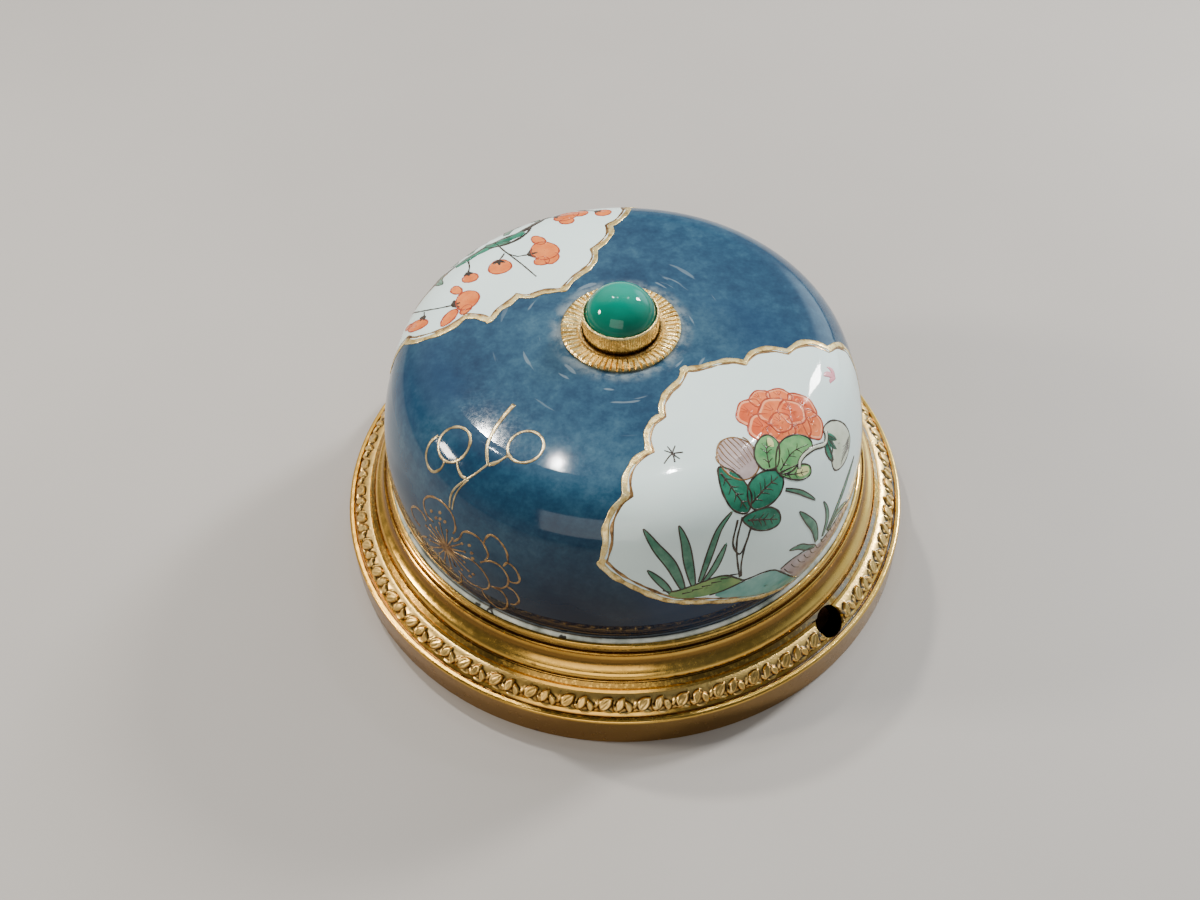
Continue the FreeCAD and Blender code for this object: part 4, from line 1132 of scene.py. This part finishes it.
    # stems
    for stem in ([(-5.8, -2.6), (-7.2, -4.6), (-7.9, -7.0), (-8.2, -9.8)],
                 [(-6.4, -2.6), (-7.8, -4.8), (-7.5, -6.6), (-6.3, -5.6), (-5.4, -4.3)],
                 [(-5.2, -4.2), (-6.6, -6.0), (-7.6, -8.0), (-8.0, -9.8)]):
        ink.line(stem, 0.24, FILL_LIFT + 0.01, wobble=0.2)
    for blade_path, width in (
        ([(0.0, -2.9), (1.6, -4.2), (2.9, -5.6), (3.9, -6.8)], 0.5),
        ([(-12.7, -7.4), (-10.6, -4.6), (-8.6, -2.4), (-6.4, -1.4)], 0.75),
        ([(-16.1, -7.0), (-16.5, -5.2), (-17.2, -2.7)], 0.8),
        ([(-14.7, -7.2), (-14.7, -3.6), (-15.2, -0.6), (-15.4, 1.9)], 1.15),
        ([(-13.5, -7.4), (-13.0, -4.4), (-12.4, -1.8), (-12.1, 0.3)], 1.05),
        ([(-12.2, -7.6), (-10.6, -6.5), (-8.4, -4.3)], 0.75),
        ([(3.9, -13.0), (3.3, -10.4), (2.2, -8.4), (1.1, -6.5)], 1.1),
        ([(5.2, -13.2), (6.0, -11.2), (5.9, -9.4), (5.3, -7.9)], 0.7),
        ([(6.2, -12.9), (8.6, -10.7), (11.2, -8.6), (13.9, -6.9)], 0.75),
        ([(3.6, -13.6), (2.0, -12.6), (0.6, -11.4), (-1.1, -10.7)], 0.8),
        ([(6.4, -13.2), (8.4, -11.9), (11.6, -12.1)], 0.8),
    ):
        outlined_blade(grass, ink, blade_path, width, FILL_LIFT + 0.012)

    # ground: brown contour, green and turquoise hills, hatched mauve rock
    hill = Paint(chart)
    hill.patch([(-16.4, -6.8), (-14.6, -7.2), (-12.2, -7.6), (-10.2, -8.0), (-8.8, -9.3), (-7.9, -10.5),
                (-9.6, -10.5), (-12.4, -10.0), (-14.6, -9.0), (-16.0, -8.2)], FILL_LIFT)
    hill.piece("front_hill_green", HILL_GREEN)
    water = Paint(chart)
    water.patch([(-11.6, -10.6), (-9.4, -10.7), (-6.0, -11.3), (-3.9, -12.0), (-2.6, -13.4), (-1.0, -15.4),
                 (1.2, -17.9), (-1.4, -17.3), (-4.6, -15.9), (-9.0, -13.2)], FILL_LIFT)
    water.piece("front_hill_turquoise", HILL_TURQUOISE)
    rock = Paint(chart)
    rock.patch([(-2.6, -12.9), (-0.4, -12.6), (2.2, -13.3), (5.0, -13.9), (8.0, -13.4), (11.0, -12.6),
        (13.4, -12.9),
                (11.2, -14.4), (7.4, -16.3), (3.2, -17.6), (1.4, -17.8), (-0.4, -15.8), (-1.6,
                    -14.2)], FILL_LIFT)
    rock.piece("front_rock_mauve", MAUVE)
    for contour in (
        [(-16.8, -6.2), (-15.8, -7.0), (-13.8, -7.4), (-11.2, -7.8), (-9.6, -8.5), (-8.4, -9.9),
            (-7.6, -10.7),
         (-5.2, -11.3), (-3.6, -12.1), (-2.4, -13.5), (-0.8, -15.6), (1.2, -18.0)],
        [(-12.2, -10.1), (-10.4, -10.5), (-7.6, -10.8)],
        [(-2.6, -12.7), (-0.6, -12.5), (1.8, -12.9), (3.2, -13.3)],
        [(13.6, -12.8), (10.6, -12.4), (7.6, -13.3), (5.0, -13.9)],
    ):
        ink.line(contour, 0.22, FILL_LIFT + 0.02, wobble=0.25)
    for k in range(6):
        x = -15.0 + 1.15 * k
        ink.line([(x, -7.9 - 0.16 * k), (x + 1.2, -8.3 - 0.2 * k)], 0.24, FILL_LIFT + 0.018,
            taper=(1.0, 0.3))
    for k in range(13):
        x = -2.0 + 1.15 * k
        y = -13.1 - 0.06 * (k % 3) - (0.35 if 2 < k < 8 else 0.1)
        ink.line([(x, y), (x + 0.6, y - 1.0), (x + 1.5, y - 1.9 + 0.12 * k)], 0.16, FILL_LIFT + 0.02,
            taper=(1, 0.3))

    # small insect and a far pink one
    for leg in ([(-9.8, 6.5), (-8.4, 6.9), (-7.2, 6.4)], [(-8.8, 7.7), (-8.3, 6.9), (-8.7, 6.0)],
                [(-8.2, 7.9), (-8.2, 6.6)], [(-7.4, 7.5), (-8.4, 6.9)], [(-8.0, 6.0), (-8.3, 6.8)]):
        ink.line(leg, 0.22, FILL_LIFT, taper=(0.6, 0.9))
    pink = Paint(chart)
    pink.blade([(14.6, 2.9), (13.9, 3.7), (13.2, 3.9)], 0.8, FILL_LIFT)
    pink.blade([(14.5, 3.0), (14.9, 3.8), (14.6, 4.4)], 0.6, FILL_LIFT)
    pink.blade([(14.6, 2.9), (13.6, 3.0), (13.2, 2.8)], 0.5, FILL_LIFT)
    pink.piece("front_pink_moth", PINK)

    ink.piece("front_ink_lines", INK)
    brown.piece("front_brown_lines", BROWN_INK)
    dark.piece("front_dark_leaves", LEAF_DARK)
    light.piece("front_light_leaves", LEAF_LIGHT)
    yellow.piece("front_leaf_tips", LEAF_YELLOW)
    grass.piece("front_grasses", GRASS)
    mauve.piece("front_mauve_bud", MAUVE)
    pale.piece("front_pale_bud", BUD_PALE)


def prunus(fill, lines, ink, body, petals, calyx, stem):
    """Prunus flower or bud seen from the side: round petals, a clawed dark calyx, a fine stem."""
    for k, (centre, across, along, lean) in enumerate(petals + [body]):
        lift = FILL_LIFT + 0.006 * k
        rim = fill.ellipse(centre, across, along, lean, lift, scallops=3, depth=0.03)
        lines.line(rim, 0.17, lift + 0.014, closed=True, raw=True, wobble=0.4)
    middle = np.array(body[0], float)
    foot = np.array(calyx, float)
    toward = (middle - foot) / max(np.linalg.norm(middle - foot), 1e-6)
    size = 0.5 * min(body[1], body[2]) + 0.25
    for turn in (-55, 0, 55):
        c, s = math.cos(math.radians(turn)), math.sin(math.radians(turn))
        way = np.array([c * toward[0] - s * toward[1], s * toward[0] + c * toward[1]])
        ink.line([foot, foot + 0.6 * size * way, foot + size * way], 0.42, DETAIL_LIFT + 0.014,
            taper=(1.3, 0.5))
    ink.line([foot] + stem, 0.19, FILL_LIFT + 0.02, wobble=0.3)


# (body, petals, calyx, stem); an ellipse is (centre, half width, half height, lean)
BACK_FLOWERS = (
    (((-2.9, 3.3), 1.75, 1.8, 20), [((-2.6, 5.0), 1.2, 0.9, 30), ((-1.3, 4.6), 1.0, 0.8, -20), ((-3.7,
        1.2), 0.7, 1.0, 10)],
     (-1.0, 2.5), [(-0.2, 2.0), (0.2, 1.8)]),
    (((3.0, 1.7), 1.45, 1.25, 0), [], (2.3, 0.7), [(1.6, 0.5), (0.9, 0.2)]),
    (((6.6, 0.5), 0.95, 0.75, -10), [], (6.1, -0.4), [(5.2, -1.1), (4.3, -2.4)]),
    (((9.7, 3.1), 1.75, 1.25, 25), [((9.1, 0.8), 0.6, 0.8, -20), ((11.0, 4.1), 0.9, 0.5, 10), ((13.0,
        3.5), 1.5, 0.6, 12)],
     (11.3, 2.4), [(12.6, 0.9), (13.3, -1.6), (13.0, -4.6), (11.9, -8.2)]),
    (((15.3, 0.1), 0.85, 1.75, 14), [((15.5, -1.9), 0.4, 0.9, 10)], (14.0, 0.3), [(13.4, -0.4)]),
    (((-9.6, -0.9), 1.7, 1.3, 10), [((-11.2, -0.2), 1.0, 0.9, 20), ((-8.8, 0.4), 0.9, 0.7, -20)],
        (-8.6, -2.0), [(-7.4, -3.0)]),
    (((-13.4, 1.6), 1.0, 0.9, 0), [], (-13.0, 0.6), [(-12.4, -0.8), (-12.2, -3.2)]),
    (((-4.6, -8.6), 1.5, 1.3, 20), [((-6.0, -8.4), 0.9, 0.9, 0), ((-4.6, -9.9), 1.0, 0.7, 10)],
        (-3.8, -7.4), [(-3.0, -4.6)]),
    (((3.6, -9.2), 1.2, 1.0, 0), [((4.6, -9.8), 0.8, 0.6, 0)], (3.2, -8.1), [(2.6, -6.4), (2.2, -4.4)]),
    (((8.8, -8.6), 0.9, 1.1, 0), [], (8.6, -7.5), [(8.2, -5.8)]),
    (((-15.0, -7.2), 1.2, 1.2, 0), [((-16.0, -6.6), 0.8, 0.7, 0)], (-14.4, -6.2), [(-13.6, -4.4)]),
)


def back_flowers(chart):
    """Prunus branches on the back panel, with rock and grasses below."""
    orange, lines, ink = Paint(chart), Paint(chart), Paint(chart)
    stem, grass, brown = Paint(chart), Paint(chart), Paint(chart)
    for flower in BACK_FLOWERS:
        prunus(orange, lines, ink, *flower)
    branch = [(12.6, -6.0), (10.2, -4.9), (7.2, -4.4), (4.4, -3.6), (1.6, -3.0), (-1.2, -2.3),
        (-3.4, -1.8), (-6.4, -2.4),
              (-9.6, -3.9), (-13.6, -4.2)]
    ink.line(branch, 1.2, FILL_LIFT, taper=(0.7, 0.6), wobble=0.3)
    stem.line([(5.6, -3.5), (3.0, -2.7), (0.6, -2.2), (-1.8, -1.6), (-3.6, -1.4)], 1.0, FILL_LIFT + 0.02,
        wobble=0.3)
    brown.line([(12.2, -5.5), (9.4, -4.3), (6.8, -3.9)], 0.6, FILL_LIFT + 0.024, wobble=0.3)
    ink.line([(1.4, -2.2), (-0.8, -0.9), (-3.6, -0.9), (-5.6, -2.4)], 0.34, FILL_LIFT + 0.02, wobble=0.3)
    ink.line([(-13.4, -4.2), (-16.0, -6.0), (-15.8, -10.6), (-12.8, -14.8)], 0.9, FILL_LIFT,
        taper=(0.8, 1.3), wobble=0.3)
    for twig in ([(1.3, 6.4), (0.9, 3.4), (0.5, -0.6)], [(0.2, 1.8), (0.6, 0.2), (0.0, -2.6)]):
        ink.line(twig, 0.19, FILL_LIFT + 0.02, wobble=0.2)
    for leaf_path in ([(1.0, -3.4), (0.2, -1.9), (-1.2, -0.9)], [(-2.0, -3.0), (-3.8, -4.8), (-5.6, -5.2)],
                      [(6.8, -5.2), (8.4, -3.6), (8.8, -2.0)], [(-6.8, -3.2), (-7.4, -5.2), (-8.6, -6.6)],
                      [(2.8, -4.1), (1.6, -5.8), (0.2, -6.8)], [(5.0, -4.6), (4.4, -6.2), (5.2, -7.6)]):
        outlined_blade(grass, ink, leaf_path, 1.1, DETAIL_LIFT, rib=True, pen=0.16)
    rock = Paint(chart)
    rock.patch([(-15.0, -13.4), (-12.6, -12.2), (-10.0, -13.6), (-6.6, -13.2), (-4.2, -15.0),
        (-1.6, -16.6), (1.0, -19.6),
                (-4.0, -19.4), (-9.4, -17.4), (-13.4, -15.0)], FILL_LIFT, (-8.0, -15.6))
    rock.piece("back_rock_mauve", MAUVE)
    hill = Paint(chart)
    hill.patch([(0.6, -17.6), (3.4, -16.0), (7.0, -15.6), (10.6, -14.2), (13.6, -13.6), (10.4, -16.6),
        (5.4, -18.9), (1.4, -19.6)],
               FILL_LIFT)
    hill.piece("back_hill_turquoise", HILL_TURQUOISE)
    for contour in (
        [(-15.0, -13.4), (-12.6, -12.2), (-10.0, -13.6), (-6.6, -13.2), (-4.2, -15.0), (-1.6, -16.6),
            (1.0, -19.4)],
        [(0.6, -17.6), (3.4, -16.0), (7.0, -15.6), (10.6, -14.2), (13.6, -13.6)],
    ):
        ink.line(contour, 0.2, FILL_LIFT + 0.02, wobble=0.25)
    for k in range(9):
        x = -13.0 + 1.3 * k
        brown.line([(x, -13.7 - 0.22 * k), (x + 0.7, -14.6 - 0.22 * k), (x + 1.3, -15.6 - 0.22 * k)], 0.14,
                   FILL_LIFT + 0.02, taper=(1, 0.3))
    for k in range(7):
        x = 5.0 + 0.8 * k
        lean = (k - 3) * 0.8
        outlined_blade(grass, ink, [(x, -15.4 + 0.1 * k), (x + lean * 0.5, -13.4), (x + lean,
            -11.2 - 0.25 * abs(k - 3))],
                       0.8, FILL_LIFT + 0.012)
    orange.piece("back_prunus_petals", PRUNUS)
    lines.piece("back_prunus_outlines", IRON_RED)
    ink.piece("back_ink_lines", INK)
    stem.piece("back_green_branch", LEAF_DARK)
    grass.piece("back_leaves", GRASS)
    brown.piece("back_brown_lines", BROWN_INK)


def ring_points(centre, across, along, lean=0.0, start=0.0, sweep=360.0, count=28):
    turn = np.radians(start + np.linspace(0, sweep, count, endpoint=sweep < 360))
    x, y = across * np.cos(turn), along * np.sin(turn)
    c, s = math.cos(math.radians(lean)), math.sin(math.radians(lean))
    return np.stack([centre[0] + c * x - s * y, centre[1] + s * x + c * y], -1)


class Turned:
    """A chart whose drawing is turned and moved on the sheet."""

    def __init__(self, chart, turn, shift):
        self.chart = chart
        self.turn = math.radians(turn)
        self.shift = np.array(shift, float)

    def place(self, flat, lift):
        c, s = math.cos(self.turn), math.sin(self.turn)
        flat = np.asarray(flat, float)
        turned = np.stack([c * flat[..., 0] - s * flat[..., 1], s * flat[..., 0] + c * flat[..., 1]], -1)
        return self.chart.place(turned + self.shift, lift)


def gilt_sprig(name, chart):
    """Line drawing in gold on the blue: a forked sprig with round buds over a large many-petalled flower."""
    gold, copper = Paint(chart), Paint(chart)
    pen = 0.3
    lift = PANEL_LIFT
    gold.line([(-2.95, 11.2), (-2.8, 9.6), (-2.4, 7.6), (-1.6, 5.8), (-0.2, 4.3)], pen, lift,
        taper=(2.0, 0.9))
    gold.line([(-0.1, 4.3), (0.6, 5.0), (1.1, 6.1)], pen * 1.2, lift, wobble=0.3)
    gold.line(ring_points((2.05, 7.85), 2.0, 1.85), pen, lift, closed=True, wobble=0.25)
    gold.line(ring_points((-5.15, 4.1), 1.95, 1.95), pen, lift, closed=True, wobble=0.25)
    gold.line([(-7.5, 3.9), (-8.0, 2.8), (-7.9, 1.4), (-7.0, 0.4), (-6.0, 0.3), (-5.1, 1.2), (-5.1, 2.1)],
        pen, lift,
              wobble=0.3)
    gold.line([(-3.8, 3.1), (-3.1, 2.3), (-2.2, 1.8), (-1.5, 1.9)], pen, lift, wobble=0.2)
    gold.line([(-0.2, 4.3), (-0.9, 2.8), (-1.8, 1.4), (-2.5, 0.2), (-2.8, -1.0), (-2.7, -2.3)], pen * 0.8,
        lift)
    gold.line([(-1.3, 1.9), (-1.9, 0.6), (-2.25, -0.8), (-2.3, -2.3)], pen * 0.6, lift)
    petals = [
        [(-1.8, -5.3), (-1.5, -4.3), (-2.2, -2.9), (-3.9, -2.3), (-5.9, -2.7), (-7.1, -4.0), (-6.6, -5.4),
            (-5.2, -5.8)],
        [(-1.7, -6.4), (-0.8, -5.3), (-0.3, -4.1), (1.0, -3.6), (2.3, -3.9), (3.3, -5.1), (3.0, -6.2)],
        [(2.5, -4.0), (2.7, -3.1), (3.2, -2.4), (4.3, -2.5), (5.4, -3.4), (5.8, -4.6)],
        [(5.4, -5.6), (5.8, -4.8), (6.9, -5.2), (7.6, -6.4), (7.2, -7.2), (6.4, -7.4)],
        [(2.4, -6.9), (3.6, -5.9), (5.0, -5.8), (6.1, -6.8), (6.2, -8.2), (5.3, -9.4), (4.1, -9.9)],
        [(6.0, -8.4), (7.2, -8.7), (7.9, -9.9), (7.4, -11.1), (6.8, -11.4)],
        [(-0.6, -7.8), (1.4, -7.4), (3.0, -8.2), (3.8, -9.6), (3.3, -11.0), (2.0, -11.5), (0.4, -11.6),
            (-1.0, -10.7)],
        [(4.2, -9.9), (5.5, -9.8), (6.3, -10.9), (6.2, -12.6), (5.4, -13.7), (4.4, -13.8), (3.2, -12.9),
            (2.6, -11.7)],
        [(-6.6, -6.6), (-7.4, -5.9), (-9.0, -6.0), (-10.1, -7.0), (-9.6, -8.0), (-8.2, -8.4)],
        [(-6.8, -9.2), (-8.2, -10.2), (-8.0, -11.6), (-6.4, -12.2), (-5.0, -11.4)],
        [(-4.6, -11.4), (-4.2, -13.0), (-2.4, -13.8), (-0.9, -12.9), (-0.7, -11.3)],
    ]
    for petal in petals:
        copper.line(petal, pen * 0.78, lift, wobble=0.35)
    heart = np.array([-2.9, -8.2])
    for k in range(19):
        a = math.radians(19 * k + 12)
        reach = 2.6 + 0.45 * (k % 3)
        way = np.array([math.cos(a) * 1.08, math.sin(a) * 0.85])
        copper.line([heart + 0.3 * way, heart + 0.55 * reach * way + 0.05, heart + reach * way],
            pen * 0.8, lift + 0.004,
                    taper=(1.3, 0.45))
        copper.ellipse(heart + (reach + 0.15) * way, 0.2, 0.16, 0, lift + 0.008)
    for x, y in ((-5.6, -4.5), (-4.1, -3.8), (-3.2, -4.5), (-4.7, -4.9), (-4.0, -4.6), (0.7, -5.4),
        (1.1, -6.3),
                 (1.3, -7.0), (1.4, -9.6), (0.9, -10.3)):
        copper.ellipse((x, y), 0.28, 0.19, 40, lift)
    copper.ellipse(heart, 0.75, 0.6, 0, lift + 0.006)
    gold.piece(name + "_sprig", DULL_GILT)
    copper.piece(name + "_flower", COPPER_LINE)


def paint_dome():
    front, back = Chart(-50, 44.6), Chart(130, 51.5)
    paint_panel("front_panel", front, front_panel_outline(), (1.2, -1.0),
                [(1.2, 15.0, 0.62), (-15.2, 5.8, 0.5), (-21.0, 0.6, 0.55), (23.4, 0.6, 0.55),
                    (8.0, 10.8, 0.45),
                 (-6.1, 11.5, 0.4), (17.4, 5.7, 0.45)])
    paint_panel("back_panel", back, back_panel_outline(), (0.0, -5.0),
                [(0.5, 10.8, 0.6), (10.8, 7.7, 0.6), (-8.0, 7.3, 0.4), (5.5, 7.4, 0.4), (-12.5, 4.5, 0.4),
                 (20.3, -4.2, 0.5), (-21.9, -4.2, 0.5)])
    front_flowers(front)
    back_flowers(back)
    gilt_sprig("gilt_left", Chart(-130, 39.5))
    gilt_sprig("gilt_right", Turned(Chart(38, 22), -84, (2.0, -1.4)))


# ------------------------------------------------------------------ stage
def area_light(name, place, target, size, power, colour=(1.0, 1.0, 1.0)):
    """Soft rectangular lamp; places in millimetres, power in watts."""
    data = bpy.data.lights.new(name, "AREA")
    data.shape = "RECTANGLE"
    data.size, data.size_y = size[0] * MM, size[1] * MM
    data.energy = power
    data.color = colour
    lamp = bpy.data.objects.new(name, data)
    lamp.location = Vector(place) * MM
    lamp.rotation_euler = (Vector(target) - Vector(place)).to_track_quat("-Z", "Y").to_euler()
    bpy.context.scene.collection.objects.link(lamp)


# (direction, cosine where it starts, cosine where it is full, strength, colour)
SKY_LOBES = (
    ((0, 0, 1), -1.2, -1.1, 0.11, (0.9, 0.95, 1.0)),
    ((0, 0, -1), -0.45, 0.0, 0.24, (0.95, 0.97, 1.0)),
    ((0.70, 0.72, 0.16), 0.93, 0.985, 2.6, (0.62, 0.84, 1.0)),
    ((1.0, 0.55, 0.75), 0.62, 0.98, 0.9, (0.8, 0.92, 1.0)),
    ((-0.5, 0.9, 0.9), 0.75, 0.99, 0.8, (1.0, 0.96, 0.9)),
)


def make_stage():
    """Plain pale floor and soft studio light."""
    m = Nodes("pale_floor")
    grain = m.noise(9, 4)
    material = m.finish(m.ramp(grain, [(0.3, (0.38, 0.355, 0.33)), (0.7, (0.42, 0.395, 0.37))]), 0.6)
    reach = 1500
    mesh = bpy.data.meshes.new("floor")
    corners = [(-reach, -reach), (reach, -reach), (reach, reach), (-reach, reach)]
    mesh.from_pydata([(x * MM, y * MM, 0.0) for x, y in corners], [], [(0, 1, 2, 3)])
    mesh.materials.append(material)
    floor = bpy.data.objects.new("floor", mesh)
    bpy.context.scene.collection.objects.link(floor)

    world = bpy.data.worlds.new("studio")
    world.use_nodes = True
    tree = world.node_tree
    background = tree.nodes["Background"]
    place = tree.nodes.new("ShaderNodeTexCoord").outputs["Generated"]
    total = None
    for direction, low, high, strength, colour in SKY_LOBES:
        dot = tree.nodes.new("ShaderNodeVectorMath")
        dot.operation = "DOT_PRODUCT"
        tree.links.new(place, dot.inputs[0])
        dot.inputs[1].default_value = tuple(Vector(direction).normalized())
        lobe = tree.nodes.new("ShaderNodeMapRange")
        lobe.interpolation_type = "SMOOTHSTEP"
        lobe.inputs["From Min"].default_value = low
        lobe.inputs["From Max"].default_value = high
        lobe.inputs["To Max"].default_value = strength
        tree.links.new(dot.outputs["Value"], lobe.inputs["Value"])
        tint = tree.nodes.new("ShaderNodeVectorMath")
        tint.operation = "SCALE"
        tint.inputs[0].default_value = colour
        tree.links.new(lobe.outputs["Result"], tint.inputs["Scale"])
        if total is None:
            total = tint.outputs[0]
        else:
            add = tree.nodes.new("ShaderNodeVectorMath")
            tree.links.new(total, add.inputs[0])
            tree.links.new(tint.outputs[0], add.inputs[1])
            total = add.outputs[0]
    tree.links.new(total, background.inputs["Color"])
    background.inputs["Strength"].default_value = 1.0
    bpy.context.scene.world = world

    target = (0, 0, 20)
    area_light("key_right", (340, 230, 300), target, (60, 90), 2.6, (1.0, 0.98, 0.95))
    area_light("top_left", (-140, 210, 430), target, (13, 22), 1.1, (1.0, 0.97, 0.92))
    area_light("left_fill", (-380, 10, 220), target, (60, 60), 1.2, (1.0, 0.93, 0.82))
    area_light("front_fill", (-120, -420, 240), target, (360, 260), 0.7, (1.0, 0.93, 0.84))
    for k in range(4):
        area_light("spot_%d" % k, (-170 + 110 * k, 130 + 25 * (k % 2), 420), target, (5, 9), 0.14)


CAMERA_ELEVATION = math.radians(49.92)
CAMERA_ROLL = math.radians(-2.16)
CAMERA_DISTANCE = 224.7
CAMERA_TARGET = Vector((-3.29, 10.37, 0.0))
CAMERA_LENS = 43.95
CAMERA_SENSOR = 36.0


def make_camera():
    """Looks down on the front from the viewing angle, a little rolled."""
    elevation, roll = CAMERA_ELEVATION, CAMERA_ROLL
    distance, target = CAMERA_DISTANCE, CAMERA_TARGET
    back = Vector((0, -math.cos(elevation), math.sin(elevation)))
    x = Vector((1, 0, 0))
    y = back.cross(x)
    right = x * math.cos(roll) + y * math.sin(roll)
    up = y * math.cos(roll) - x * math.sin(roll)
    data = bpy.data.cameras.new("camera")
    data.sensor_width = CAMERA_SENSOR
    data.lens = CAMERA_LENS
    data.clip_start = 0.01
    camera = bpy.data.objects.new("camera", data)
    bpy.context.scene.collection.objects.link(camera)
    turn = Matrix((right, up, back)).transposed().to_4x4()
    camera.matrix_world = Matrix.Translation((target + back * distance) * MM) @ turn
    bpy.context.scene.camera = camera


make_camera()
make_stage()
dress_cad_nodes()
make_leaf_band()
make_bezel()
make_spring()
make_cement()
paint_dome()

bpy.context.view_layer.update()
